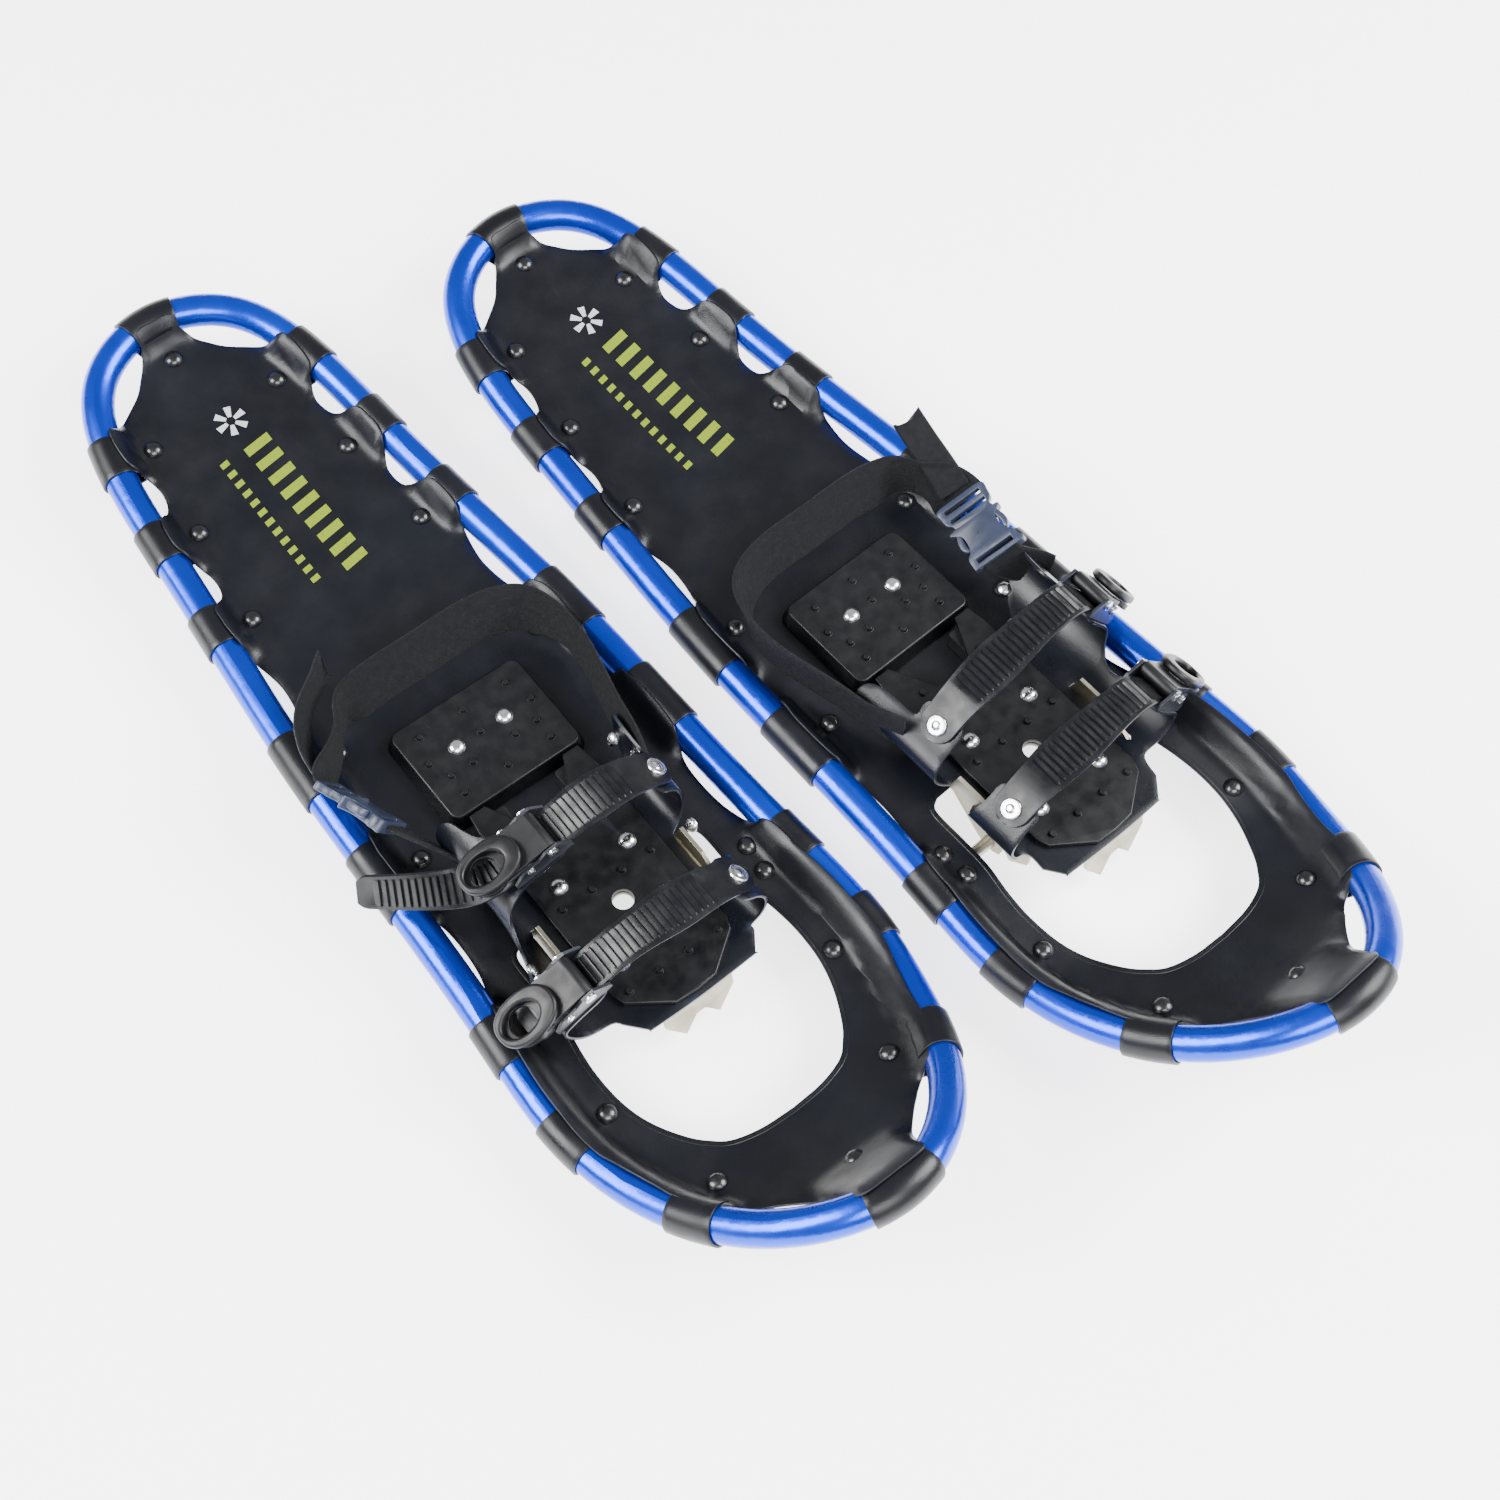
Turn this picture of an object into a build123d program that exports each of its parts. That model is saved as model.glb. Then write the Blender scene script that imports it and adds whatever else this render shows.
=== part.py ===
"""A pair of snowshoes: bent-tube frames with a riveted deck, and pivoting ratchet bindings.

Every piece is drawn in the frame of the right shoe: +X outwards (buckle side), +Y to the toe,
+Z up, with the origin on the tube's centreline at the tail.  The left shoe is its mirror image.
"""
from build123d import *
from math import atan2, cos, radians, sin
import os

# ---------------------------------------------------------------- driving dimensions (mm)
TUBE_R = 10.5                 # frame tube, outside radius
TUBE_WALL = 1.4
SLEEVE_LENGTH = 60.0          # spigot at the tube's joint
SLEEVE_FIT = 0.25
FRAME_LENGTH = 743.0          # tail to nose, between tube centrelines, in plan
NOSE_RISE = 70.0              # how far the nose turns up
NOSE_BEND_Y = 600.0           # where the nose starts to rise
TAIL_RISE = 21.0              # how far the tail turns up
TAIL_BEND_Y = 220.0
# half widths of the frame's centreline at stations along the shoe: (y, x)
FRAME_STATIONS = [(20.0, 49.0), (71.4, 72.3), (138.7, 80.3), (208.7, 86.3), (319.6, 96.1),
                  (408.0, 99.3), (530.1, 104.8), (597.7, 106.8), (640.0, 98.9), (681.0, 83.5),
                  (715.0, 59.6)]

TANGENT_SPEED = 1.0           # how firmly the tube leaves its ends square to the shoe

DECK_TOP = -3.0               # deck surface below the tube's centreline plane
DECK_T = 1.6
DECK_GAP = 0.5                # between the deck's edge and a band
BAND_T = 1.8                  # thickness of the strip wrapped round the tube
BAND_FIT = 0.25
BORE_MARGIN = 0.5
BORE_EXTRA = 16.0             # the tube is cut out of a band's ends this far past the strip
# bands on each side: (y of the band, length along the tube, rivet x, rivet y)
BANDS = [(71.4, 28.0, 46.0, 74.4), (138.7, 28.0, 55.2, 140.1), (208.7, 28.0, 62.5, 210.8),
         (319.6, 46.0, 72.5, 319.7), (408.0, 46.0, 73.5, 406.9), (530.1, 30.0, 81.0, 534.0),
         (597.7, 30.0, 81.2, 597.2), (681.0, 30.0, 60.8, 668.7)]
TAB_REACH = 9.6               # where a band's end leaves the tube, from its centreline
TONGUE_HALF = 14.0            # tail tongue of the deck
TONGUE_Y = 13.2
TAIL_TAB_Y = 10.8
TAIL_BAND = 34.0
NOSE_BAND = 40.0
TAIL_RIVET_Y = 27.0
NOSE_RIVET_Y = 709.3
RIVET_HEAD_R = 6.0
RIVET_HEAD_H = 3.2
RIVET_SHANK_R = 2.4
RIVET_LIFT = 0.06

OPENING_HALF = 66.0           # toe opening, half width at its rear edge
OPENING_BACK = 486.0
OPENING_WIDE = 71.0
OPENING_WIDE_Y = 585.0
OPENING_FRONT = 660.0

AXLE_Y = 524.7                # pivot of the binding
AXLE_Z = -11.0
AXLE_R = 4.0
AXLE_FIT = 0.06
AXLE_HALF = 92.0              # half length of the axle
BRACKET_X = (73.0, 91.0)
BRACKET_RIVET = (83.0, 515.5)

PAD_Y = (334.0, 404.0)        # heel pad
PAD_HALF = 46.0
PAD_T = 11.0
PAD_SCREW = (17.3, 364.0)
SCREW_R = 5.4
SCREW_HEAD_H = 2.6
SCREW_SHANK_R = 2.0
NUT_R = 4.0
NUT_T = 3.0

BASE_Y = (408.0, 575.0)       # base plate of the binding
BASE_HALF = 41.0
BASE_TOP = 12.5
BASE_T = 3.5
BASE_HOLE = (504.5, 6.5)      # y and radius of the round hole
BASE_SCREWS = [(24.5, 476.0), (24.5, 535.0)]
NUB_R = 2.6
NUB_H = 2.0
SHEET_T = 2.0                 # harness sheets
CRAMPON_T = 2.5
GROUND_Z = -31.0              # tips of the crampon teeth
CRAMPON_HALF = 44.0
EAR_HALF = 50.0
EAR_Y = (488.0, 536.0)
EAR_TOP = 22.0
TOE_FRONT = 574.0             # front fold of the toe crampon
TOE_TEETH_LEAN = 7.0
TOE_TIP_Z = -24.0
HEEL_CRAMPON_Y = (342.0, 394.0)
HEEL_CRAMPON_HALF = 33.0
FOOT_AT = (24.0, 424.0)       # feet of the base plate
STOP_GAP = 0.4
WING_ROOT = 50.0              # where the harness turns up beside the sole

LADDER_T = 2.2                # ladder strap
LADDER_HALF = 12.0
LADDER_GAP = 0.5              # air between a strap and what it lies on
RATCHET_FLOOR = 2.0
RATCHET_HALF = 14.5
RATCHET_WALL = 1.9
RATCHET_REACH = 20.0          # half length of the ratchet's floor
LEVER_PIN = (-8.0, 9.3)       # along the strap and above the floor
LEVER_PIN_R = 2.0
LEVER_HUB_R = 4.6
LEVER_UNDER = 10.3            # underside of the lever's arm
LEVER_T = 3.4
RING_AT = 28.0                # centre of the lever's finger ring
RING_R = 14.0
RING_HOLE_R = 8.5
PAWL_PIN = (8.0, 7.0)
PAWL_PIN_R = 1.5
PIN_FIT = 0.03
STRAP_RIVET_R = 2.0

WEB_T = 2.2                   # heel strap webbing
STRAP_Z = (6.0, 40.0)
STRAP_BACK_Y = 303.0
STRAP_HALF = 64.0
STRAP_BOW = 81.0
BUCKLE_HALF = 17.0
BUCKLE_T = 9.0
PLUG_T = 4.6
BUCKLE_FIT = 0.3
BUCKLE_TRAVEL = 22.0

# each strap: where it starts on the inner wing, its top, its ratchet's floor and lean, and
# where the outer wing turns up below the ratchet
SHOES = {
    "right": dict(mirrored=False, turn=0.0, at=(0.0, 0.0),
                  instep=dict(y=461.0, start=(-56.0, 43.0), top=(-14.0, 60.0),
                              centre=(32.0, 50.0), lean=-14.0, turn=(64.0, 21.0)),
                  toe=dict(y=541.0, start=(-53.0, 38.0), top=(-6.0, 56.0),
                           centre=(64.0, 42.0), lean=-24.0, turn=(70.0, 15.0)),
                  long_tail=True,
                  buckle=dict(centre=(89.0, 372.0, 30.0), yaw=-18.0, roll=62.0,
                              root=(68.5, 420.0, 23.0))),
    "left": dict(mirrored=True, turn=3.26, at=(-224.2, 70.8),
                 instep=dict(y=464.0, start=(-44.0, 38.0), top=(10.0, 66.0),
                             centre=(76.0, 48.0), lean=-55.0, turn=(75.0, 16.0)),
                 toe=dict(y=531.0, start=(-49.0, 37.0), top=(8.0, 58.0),
                          centre=(68.0, 39.0), lean=-50.0, turn=(68.0, 13.0)),
                 long_tail=False,
                 buckle=dict(centre=(77.0, 376.0, 29.0), yaw=-13.0, roll=26.0,
                             root=(93.2, 417.0, 28.0))),
}


# ---------------------------------------------------------------- shared curves and surfaces
def rise(y):
    """Height of the frame's centreline over the flat middle of the shoe."""
    if y < TAIL_BEND_Y:
        return TAIL_RISE * ((TAIL_BEND_Y - y) / TAIL_BEND_Y) ** 2
    if y > NOSE_BEND_Y:
        return NOSE_RISE * ((y - NOSE_BEND_Y) / (FRAME_LENGTH - NOSE_BEND_Y)) ** 2
    return 0.0


def slope(y):
    """Steepness of the deck along the shoe."""
    return rise(y + 0.5) - rise(y - 0.5)


def half_frame_path():
    """Centreline of the tube on the +X side, from the tail round to the nose."""
    side = [(x, y, rise(y)) for y, x in FRAME_STATIONS]
    tail = (0.0, 0.0, TAIL_RISE)
    nose = (0.0, FRAME_LENGTH, NOSE_RISE)
    return Spline(tail, *side, nose, tangents=[(1, 0, 0), (-1, 0, 0)],
                  tangent_scalars=[TANGENT_SPEED, TANGENT_SPEED])


PATH = half_frame_path()


def path_at(y):
    """Where on the half path the tube passes a given distance from the tail."""
    low = 0.0
    high = 1.0
    for _ in range(40):
        middle = (low + high) / 2
        if (PATH @ middle).Y < y:
            low = middle
        else:
            high = middle
    return low


def frame_half_width(y):
    return (PATH @ path_at(y)).X


def arc_stretch(start, end):
    """Arc that stands for the half path between two of its parameters."""
    return ThreePointArc(PATH @ start, PATH @ ((start + end) / 2), PATH @ end)


def side_stretches(extra=0.0):
    """The stretches of tube that the side bands cover, each a little longer."""
    length = PATH.length
    sides = []
    for y, band_length, _, _ in BANDS:
        middle = path_at(y)
        reach = (band_length / 2 + extra) / length
        sides.append(arc_stretch(middle - reach, middle + reach))
    return sides


def end_stretches():
    """The stretches of tube that the tail and nose bands cover, from side to side."""
    ends = []
    for middle, inwards, length in ((0, 1, TAIL_BAND), (1, -1, NOSE_BAND)):
        corner = PATH @ (middle + inwards * length / 2 / PATH.length)
        ends.append(ThreePointArc((-corner.X, corner.Y, corner.Z), PATH @ middle, corner))
    return ends


def deck_layer(top, thickness):
    """Face of a sheet that follows the deck, drawn on the shoe's centre plane."""
    start = 8.0
    end = FRAME_LENGTH + 2.0

    def tail_curve(z):
        return Bezier((start, rise(start) + z), ((start + TAIL_BEND_Y) / 2, z), (TAIL_BEND_Y, z))

    def nose_curve(z):
        return Bezier((NOSE_BEND_Y, z), ((NOSE_BEND_Y + end) / 2, z), (end, rise(end) + z))

    with BuildSketch(Plane.YZ) as layer:
        with BuildLine():
            for z in (top, top - thickness):
                tail_curve(z)
                Line((TAIL_BEND_Y, z), (NOSE_BEND_Y, z))
                nose_curve(z)
            for y in (start, end):
                Line((y, rise(y) + top), (y, rise(y) + top - thickness))
        make_face()
    return layer.sketch


def deck_plane(x, y, lift=0.0):
    """Plane on the deck's top face, square to it."""
    return Plane(origin=(x, y, rise(y) + DECK_TOP + lift), x_dir=(1, 0, 0), z_dir=(0, -slope(y), 1))


def rivet_places():
    """Planes of all deck rivets of one shoe."""
    spots = [(0.0, TAIL_RIVET_Y), (0.0, NOSE_RIVET_Y)]
    for side in (-1, 1):
        spots += [(side * x, y) for _, _, x, y in BANDS]
        spots.append((side * BRACKET_RIVET[0], BRACKET_RIVET[1]))
    return [deck_plane(x, y, RIVET_LIFT) for x, y in spots]


# ---------------------------------------------------------------- frame and deck
def frame_tube():
    with BuildPart() as tube:
        with BuildSketch(Plane(PATH @ 0, z_dir=PATH % 0)):
            Circle(TUBE_R)
            Circle(TUBE_R - TUBE_WALL, mode=Mode.SUBTRACT)
        sweep(path=PATH)
        mirror(about=Plane.YZ)
    return tube.part


def frame_sleeve():
    """Spigot inside the tube where its ends meet, under the inner wide band."""
    middle = path_at(BANDS[4][0])
    reach = SLEEVE_LENGTH / 2 / PATH.length
    spine = arc_stretch(middle - reach, middle + reach)
    with BuildPart() as sleeve:
        with BuildSketch(Plane(spine @ 0, z_dir=spine % 0)):
            Circle(TUBE_R - TUBE_WALL - SLEEVE_FIT)
            Circle(TUBE_R - 2 * TUBE_WALL - SLEEVE_FIT, mode=Mode.SUBTRACT)
        sweep(path=spine)
    return mirror(sleeve.part, about=Plane.YZ)


def deck_outline():
    """Right half of the deck's edge, tail to nose: scallops between the bands."""
    clear = TUBE_R + BAND_FIT + BAND_T + DECK_GAP
    side = [(y, frame_half_width(y) - clear) for y, _, _, _ in BANDS[1:7]]
    tail = [(TONGUE_HALF, TONGUE_Y), (21.0, 20.0), (31.0, 36.0), (50.0, 49.0), (58.0, 62.0),
            (60.0, 76.0), (58.0, 101.0)]
    scallops = [66.0, 74.0, 84.5, 86.0, 91.0, None]
    points = list(tail)
    for (y, x), waist, following in zip(side, scallops, side[1:] + [None]):
        points.append((x, y))
        if waist is not None and following is not None:
            points.append((waist, (y + following[0]) / 2))
    nose = [(87.0, 636.0), (80.0, 659.0), (71.0, 675.0), (64.0, 690.0), (50.0, 701.0),
            (28.0, 719.0), (16.0, 726.6)]
    return points + nose


def toe_opening():
    """The rounded opening that the toe of the boot swings down through."""
    with BuildSketch() as opening:
        with BuildLine():
            Line((-OPENING_HALF, OPENING_BACK), (OPENING_HALF, OPENING_BACK))
            Line((OPENING_HALF, OPENING_BACK), (OPENING_HALF, AXLE_Y + 14))
            Spline((OPENING_HALF, AXLE_Y + 14), (OPENING_WIDE, OPENING_WIDE_Y), (45.0, 645.0),
                   (0.0, OPENING_FRONT), (-45.0, 645.0), (-OPENING_WIDE, OPENING_WIDE_Y),
                   (-OPENING_HALF, AXLE_Y + 14))
            Line((-OPENING_HALF, AXLE_Y + 14), (-OPENING_HALF, OPENING_BACK))
        make_face()
    return opening.sketch


def deck():
    outline = deck_outline()
    with BuildPart() as sheet:
        with BuildSketch(Plane.XY.offset(-20)):
            with BuildLine():
                edge = Spline(*outline)
                Line(edge @ 1, (0, outline[-1][1]))
                Line((0, outline[-1][1]), (0, outline[0][1]))
                Line((0, outline[0][1]), edge @ 0)
            make_face()
            mirror(about=Plane.YZ)
            add(toe_opening(), mode=Mode.SUBTRACT)
        extrude(amount=110)
        extrude(deck_layer(DECK_TOP, DECK_T), amount=110, both=True, mode=Mode.INTERSECT)
        with Locations(*[place.location for place in rivet_places()]):
            Cylinder(RIVET_SHANK_R + 0.05, 20, mode=Mode.SUBTRACT)
        with Locations(*[(side * PAD_SCREW[0], PAD_SCREW[1], 0) for side in (-1, 1)]):
            Cylinder(SCREW_SHANK_R + 0.1, 30, mode=Mode.SUBTRACT)
    return sheet.part


def nose_tab():
    """Side view of the nose band's end, from its rivet up to the ring round the tube."""
    upper = [(y, rise(y) + DECK_TOP - DECK_T - 0.25) for y in (701.0, 710.0, 719.0, 727.0)]
    lower = [(y, z - BAND_T) for y, z in upper]
    into_ring = [(735.0, 62.6), (736.6, 60.8)]
    with BuildSketch(Plane.YZ) as tab:
        with BuildLine():
            Polyline(*upper, *into_ring, *reversed(lower), close=True)
        make_face()
    return tab.sketch


def deck_bands():
    """Strips round the tube; both ends of each lie under the deck and share its rivet."""
    ring = TUBE_R + BAND_FIT
    with BuildPart() as bands:
        with BuildSketch(Plane.XY.offset(-20)):
            for y, length, rivet_x, rivet_y in BANDS:
                root = frame_half_width(y) - TAB_REACH
                inner = rivet_x - 8.0
                with Locations(((root + inner) / 2, (y + rivet_y) / 2)):
                    Rectangle(root - inner, max(length, 2 * abs(y - rivet_y) + 18) - 4)
            with Locations((0, (TAIL_TAB_Y + TAIL_RIVET_Y + 8) / 2)):
                Rectangle(TAIL_BAND - 6, TAIL_RIVET_Y + 8 - TAIL_TAB_Y)
        extrude(amount=110)
        layer = deck_layer(DECK_TOP - DECK_T, BAND_T)
        extrude(layer, amount=110, both=True, mode=Mode.INTERSECT)
        for spine in side_stretches(BORE_EXTRA):
            with BuildSketch(Plane(spine @ 0, z_dir=spine % 0)):
                Circle(ring + BORE_MARGIN)
            sweep(path=spine, mode=Mode.SUBTRACT)
        mirror(about=Plane.YZ)
        extrude(nose_tab(), amount=NOSE_BAND / 2 - 6, both=True)
        for spine in end_stretches():
            with BuildSketch(Plane(spine @ 0, z_dir=spine % 0)):
                Circle(ring + BORE_MARGIN)
            sweep(path=spine, mode=Mode.SUBTRACT)
        sides = side_stretches()
        for spine in end_stretches() + sides + [mirror(side, about=Plane.YZ) for side in sides]:
            with BuildSketch(Plane(spine @ 0, z_dir=spine % 0)):
                Circle(ring + BAND_T)
                Circle(ring, mode=Mode.SUBTRACT)
            sweep(path=spine)
        with Locations(*[place.location for place in rivet_places()]):
            Cylinder(RIVET_SHANK_R + 0.05, 20, mode=Mode.SUBTRACT)
    return bands.part


def deck_rivets():
    """Black dome rivets through the deck and the band ends under it."""
    stack = DECK_T + BAND_T + 2 * RIVET_LIFT
    with BuildPart() as rivet:
        with BuildSketch(Plane.XZ):
            with BuildLine():
                ThreePointArc((0, RIVET_HEAD_H), (RIVET_HEAD_R * 0.68, RIVET_HEAD_H * 0.72),
                              (RIVET_HEAD_R, 0))
                Polyline((RIVET_HEAD_R, 0), (RIVET_SHANK_R, 0), (RIVET_SHANK_R, -stack),
                         (4.2, -stack), (4.0, -stack - 1.4), (0, -stack - 1.4), (0, RIVET_HEAD_H))
            make_face()
        revolve(axis=Axis.Z)
    with BuildPart() as rivets:
        with Locations(*[place.location for place in rivet_places()]):
            add(rivet.part)
    return rivets.part


def pivot_axle():
    with BuildPart() as axle:
        with BuildSketch(Plane.YZ.offset(-AXLE_HALF)):
            with Locations((AXLE_Y, AXLE_Z)):
                Circle(AXLE_R)
        extrude(amount=2 * AXLE_HALF)
        chamfer(axle.edges().filter_by(GeomType.CIRCLE), 0.8)
    return axle.part


def axle_brackets():
    """Moulded blocks under the deck that hold the ends of the axle."""
    top = DECK_TOP - DECK_T - BAND_T
    near, far = BRACKET_X
    with BuildPart() as brackets:
        with BuildSketch(Plane.YZ.offset(near)):
            with BuildLine():
                Polyline((AXLE_Y - 17, top), (AXLE_Y - 17, top - 4), (AXLE_Y - 8, AXLE_Z - 7),
                         (AXLE_Y + 8, AXLE_Z - 7), (AXLE_Y + 17, top - 4), (AXLE_Y + 17, top),
                         close=True)
            make_face()
        extrude(amount=far - near)
        fillet(brackets.edges().filter_by(Axis.X).group_by(Axis.Z)[0], 3)
        with Locations(*[place.location for place in rivet_places() if place.origin.X > near]):
            Cylinder(4.4, 2 * (DECK_T + BAND_T + 2), mode=Mode.SUBTRACT)
        mirror(about=Plane.YZ)
        with BuildSketch(Plane.YZ.offset(-AXLE_HALF - 1)):
            with Locations((AXLE_Y, AXLE_Z)):
                Circle(AXLE_R + 0.02)
        extrude(amount=2 * AXLE_HALF + 2, mode=Mode.SUBTRACT)
    return brackets.part


# ---------------------------------------------------------------- heel pad and crampons
def nub(x, y, z):
    """Small grip nub on a plate."""
    with Locations((x, y, z)):
        Cone(NUB_R, NUB_R * 0.7, NUB_H, align=(Align.CENTER, Align.CENTER, Align.MIN))


def heel_pad():
    top = DECK_TOP + PAD_T
    middle = (PAD_Y[0] + PAD_Y[1]) / 2
    length = PAD_Y[1] - PAD_Y[0]
    with BuildPart() as pad:
        with BuildSketch(Plane.XY.offset(DECK_TOP)):
            with Locations((0, middle)):
                RectangleRounded(2 * PAD_HALF + 6, length + 6, 9)
        with BuildSketch(Plane.XY.offset(top)):
            with Locations((0, middle)):
                RectangleRounded(2 * PAD_HALF, length, 6)
        loft()
        fillet(pad.faces().sort_by(Axis.Z)[-1].edges(), 1.5)
        with BuildSketch(Plane.XY.offset(DECK_TOP)):
            with Locations((0, middle)):
                RectangleRounded(2 * PAD_HALF - 6, length - 6, 5)
            with GridLocations(2 * PAD_SCREW[0], 1, 2, 1):
                with Locations((0, PAD_SCREW[1])):
                    Circle(8, mode=Mode.SUBTRACT)
        extrude(amount=PAD_T - 4, mode=Mode.SUBTRACT)
        for x in (-31, 0, 31):
            for y in (346, 392):
                nub(x, y, top)
        for x in (-31, -15.5, 15.5, 31):
            nub(x, 378, top)
        nub(-37, 364, top)
        nub(0, 364, top)
        nub(37, 364, top)
        with Locations(*[(side * PAD_SCREW[0], PAD_SCREW[1], 0) for side in (-1, 1)]):
            Cylinder(SCREW_SHANK_R + 0.1, 40, mode=Mode.SUBTRACT)
    return pad.part


def toothed_edge(start, end, count, root, tip):
    """Points of a row of teeth that hang from height root down to height tip."""
    pitch = (end - start) / count
    points = []
    for index in range(count):
        points += [(start + index * pitch, root), (start + (index + 0.5) * pitch, tip)]
    return points + [(end, root)]


def toothed_flange(plane, start, end, top, count):
    """Upright steel strip with teeth along its lower edge."""
    teeth = toothed_edge(start, end, count, GROUND_Z + 13, GROUND_Z)
    with BuildSketch(plane) as flange:
        with BuildLine():
            Polyline((start, top), *teeth, (end, top), close=True)
        make_face()
    return flange.sketch


def heel_crampon():
    """Steel channel under the heel with a row of teeth down each side."""
    top = DECK_TOP - DECK_T
    start, end = HEEL_CRAMPON_Y
    half = HEEL_CRAMPON_HALF
    with BuildPart() as crampon:
        with BuildSketch(Plane.XY.offset(top - CRAMPON_T)):
            with Locations((0, (start + end) / 2)):
                Rectangle(2 * half, end - start)
        extrude(amount=CRAMPON_T)
        flange = toothed_flange(Plane.YZ.offset(half - CRAMPON_T), start, end, top, 3)
        extrude(flange, amount=CRAMPON_T)
        mirror(about=Plane.YZ)
        with BuildSketch(Plane.XZ.offset(-start - CRAMPON_T)):
            with BuildLine():
                Polyline((-half, top), *toothed_edge(-half, half, 4, GROUND_Z + 13, GROUND_Z),
                         (half, top), close=True)
            make_face()
        extrude(amount=CRAMPON_T)
        with Locations(*[(side * PAD_SCREW[0], PAD_SCREW[1], top) for side in (-1, 1)]):
            Cylinder(SCREW_SHANK_R + 0.1, 12, mode=Mode.SUBTRACT)
    return crampon.part


def cross_head_screw(reach, nut_depth):
    """Pan-head screw with a cross recess, its shank down to reach, and its nut."""
    with BuildPart() as screw:
        with BuildSketch(Plane.XZ):
            with BuildLine():
                ThreePointArc((0, SCREW_HEAD_H), (SCREW_R * 0.7, SCREW_HEAD_H * 0.76), (SCREW_R, 0))
                Polyline((SCREW_R, 0), (SCREW_SHANK_R, 0), (SCREW_SHANK_R, -reach), (0, -reach),
                         (0, SCREW_HEAD_H))
            make_face()
        revolve(axis=Axis.Z)
        with BuildSketch(Plane.XY.offset(SCREW_HEAD_H)):
            Rectangle(5.0, 1.3)
            Rectangle(1.3, 5.0)
        extrude(amount=-1.6, mode=Mode.SUBTRACT)
        with BuildSketch(Plane.XY.offset(-reach)):
            RegularPolygon(NUT_R, 6)
        extrude(amount=nut_depth)
    return screw.part


def heel_screws():
    top = DECK_TOP + PAD_T
    grip = PAD_T + DECK_T + CRAMPON_T
    screw = cross_head_screw(grip + NUT_T, NUT_T)
    with BuildPart() as screws:
        with Locations(*[(side * PAD_SCREW[0], PAD_SCREW[1], top) for side in (-1, 1)]):
            add(screw)
    return screws.part


def base_screw_places():
    return [(side * x, y) for side in (-1, 1) for x, y in BASE_SCREWS]


def base_screws():
    grip = BASE_T + SHEET_T + CRAMPON_T
    screw = cross_head_screw(grip + NUT_T, NUT_T)
    with BuildPart() as screws:
        with Locations(*[(x, y, BASE_TOP) for x, y in base_screw_places()]):
            add(screw)
    return screws.part


def base_plate():
    """Sole plate of the binding: nubs, a round hole, two tabs at the back and two feet."""
    bottom = BASE_TOP - BASE_T
    back, front = BASE_Y
    with BuildPart() as base:
        with BuildSketch(Plane.XY.offset(bottom)):
            with BuildLine():
                Polyline((0, 438), (14, 436), (28, back), (39, back), (BASE_HALF, 420),
                         (BASE_HALF, 548), (38, 556), (14, front - 2), (0, front - 1))
                Line((0, front - 1), (0, 438))
            make_face()
            mirror(about=Plane.YZ)
            with Locations((0, BASE_HOLE[0])):
                Circle(BASE_HOLE[1], mode=Mode.SUBTRACT)
        extrude(amount=BASE_T)
        fillet(base.faces().sort_by(Axis.Z)[-1].outer_wire().edges(), 0.8)
        with BuildSketch(Plane.XY.offset(DECK_TOP + STOP_GAP)):
            with Locations(*[(side * FOOT_AT[0], FOOT_AT[1]) for side in (-1, 1)]):
                RectangleRounded(12, 22, 2)
        extrude(amount=bottom - DECK_TOP - STOP_GAP)
        for y in (489, 519.5, 552):
            for x in (-31.5, -10.5, 10.5, 31.5):
                nub(x, y, BASE_TOP)
        for x in (-24, 24):
            nub(x, 434, BASE_TOP)
        with Locations(*[(x, y, BASE_TOP) for x, y in base_screw_places()]):
            Cylinder(SCREW_SHANK_R + 0.1, 12, mode=Mode.SUBTRACT)
    return base.part


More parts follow.
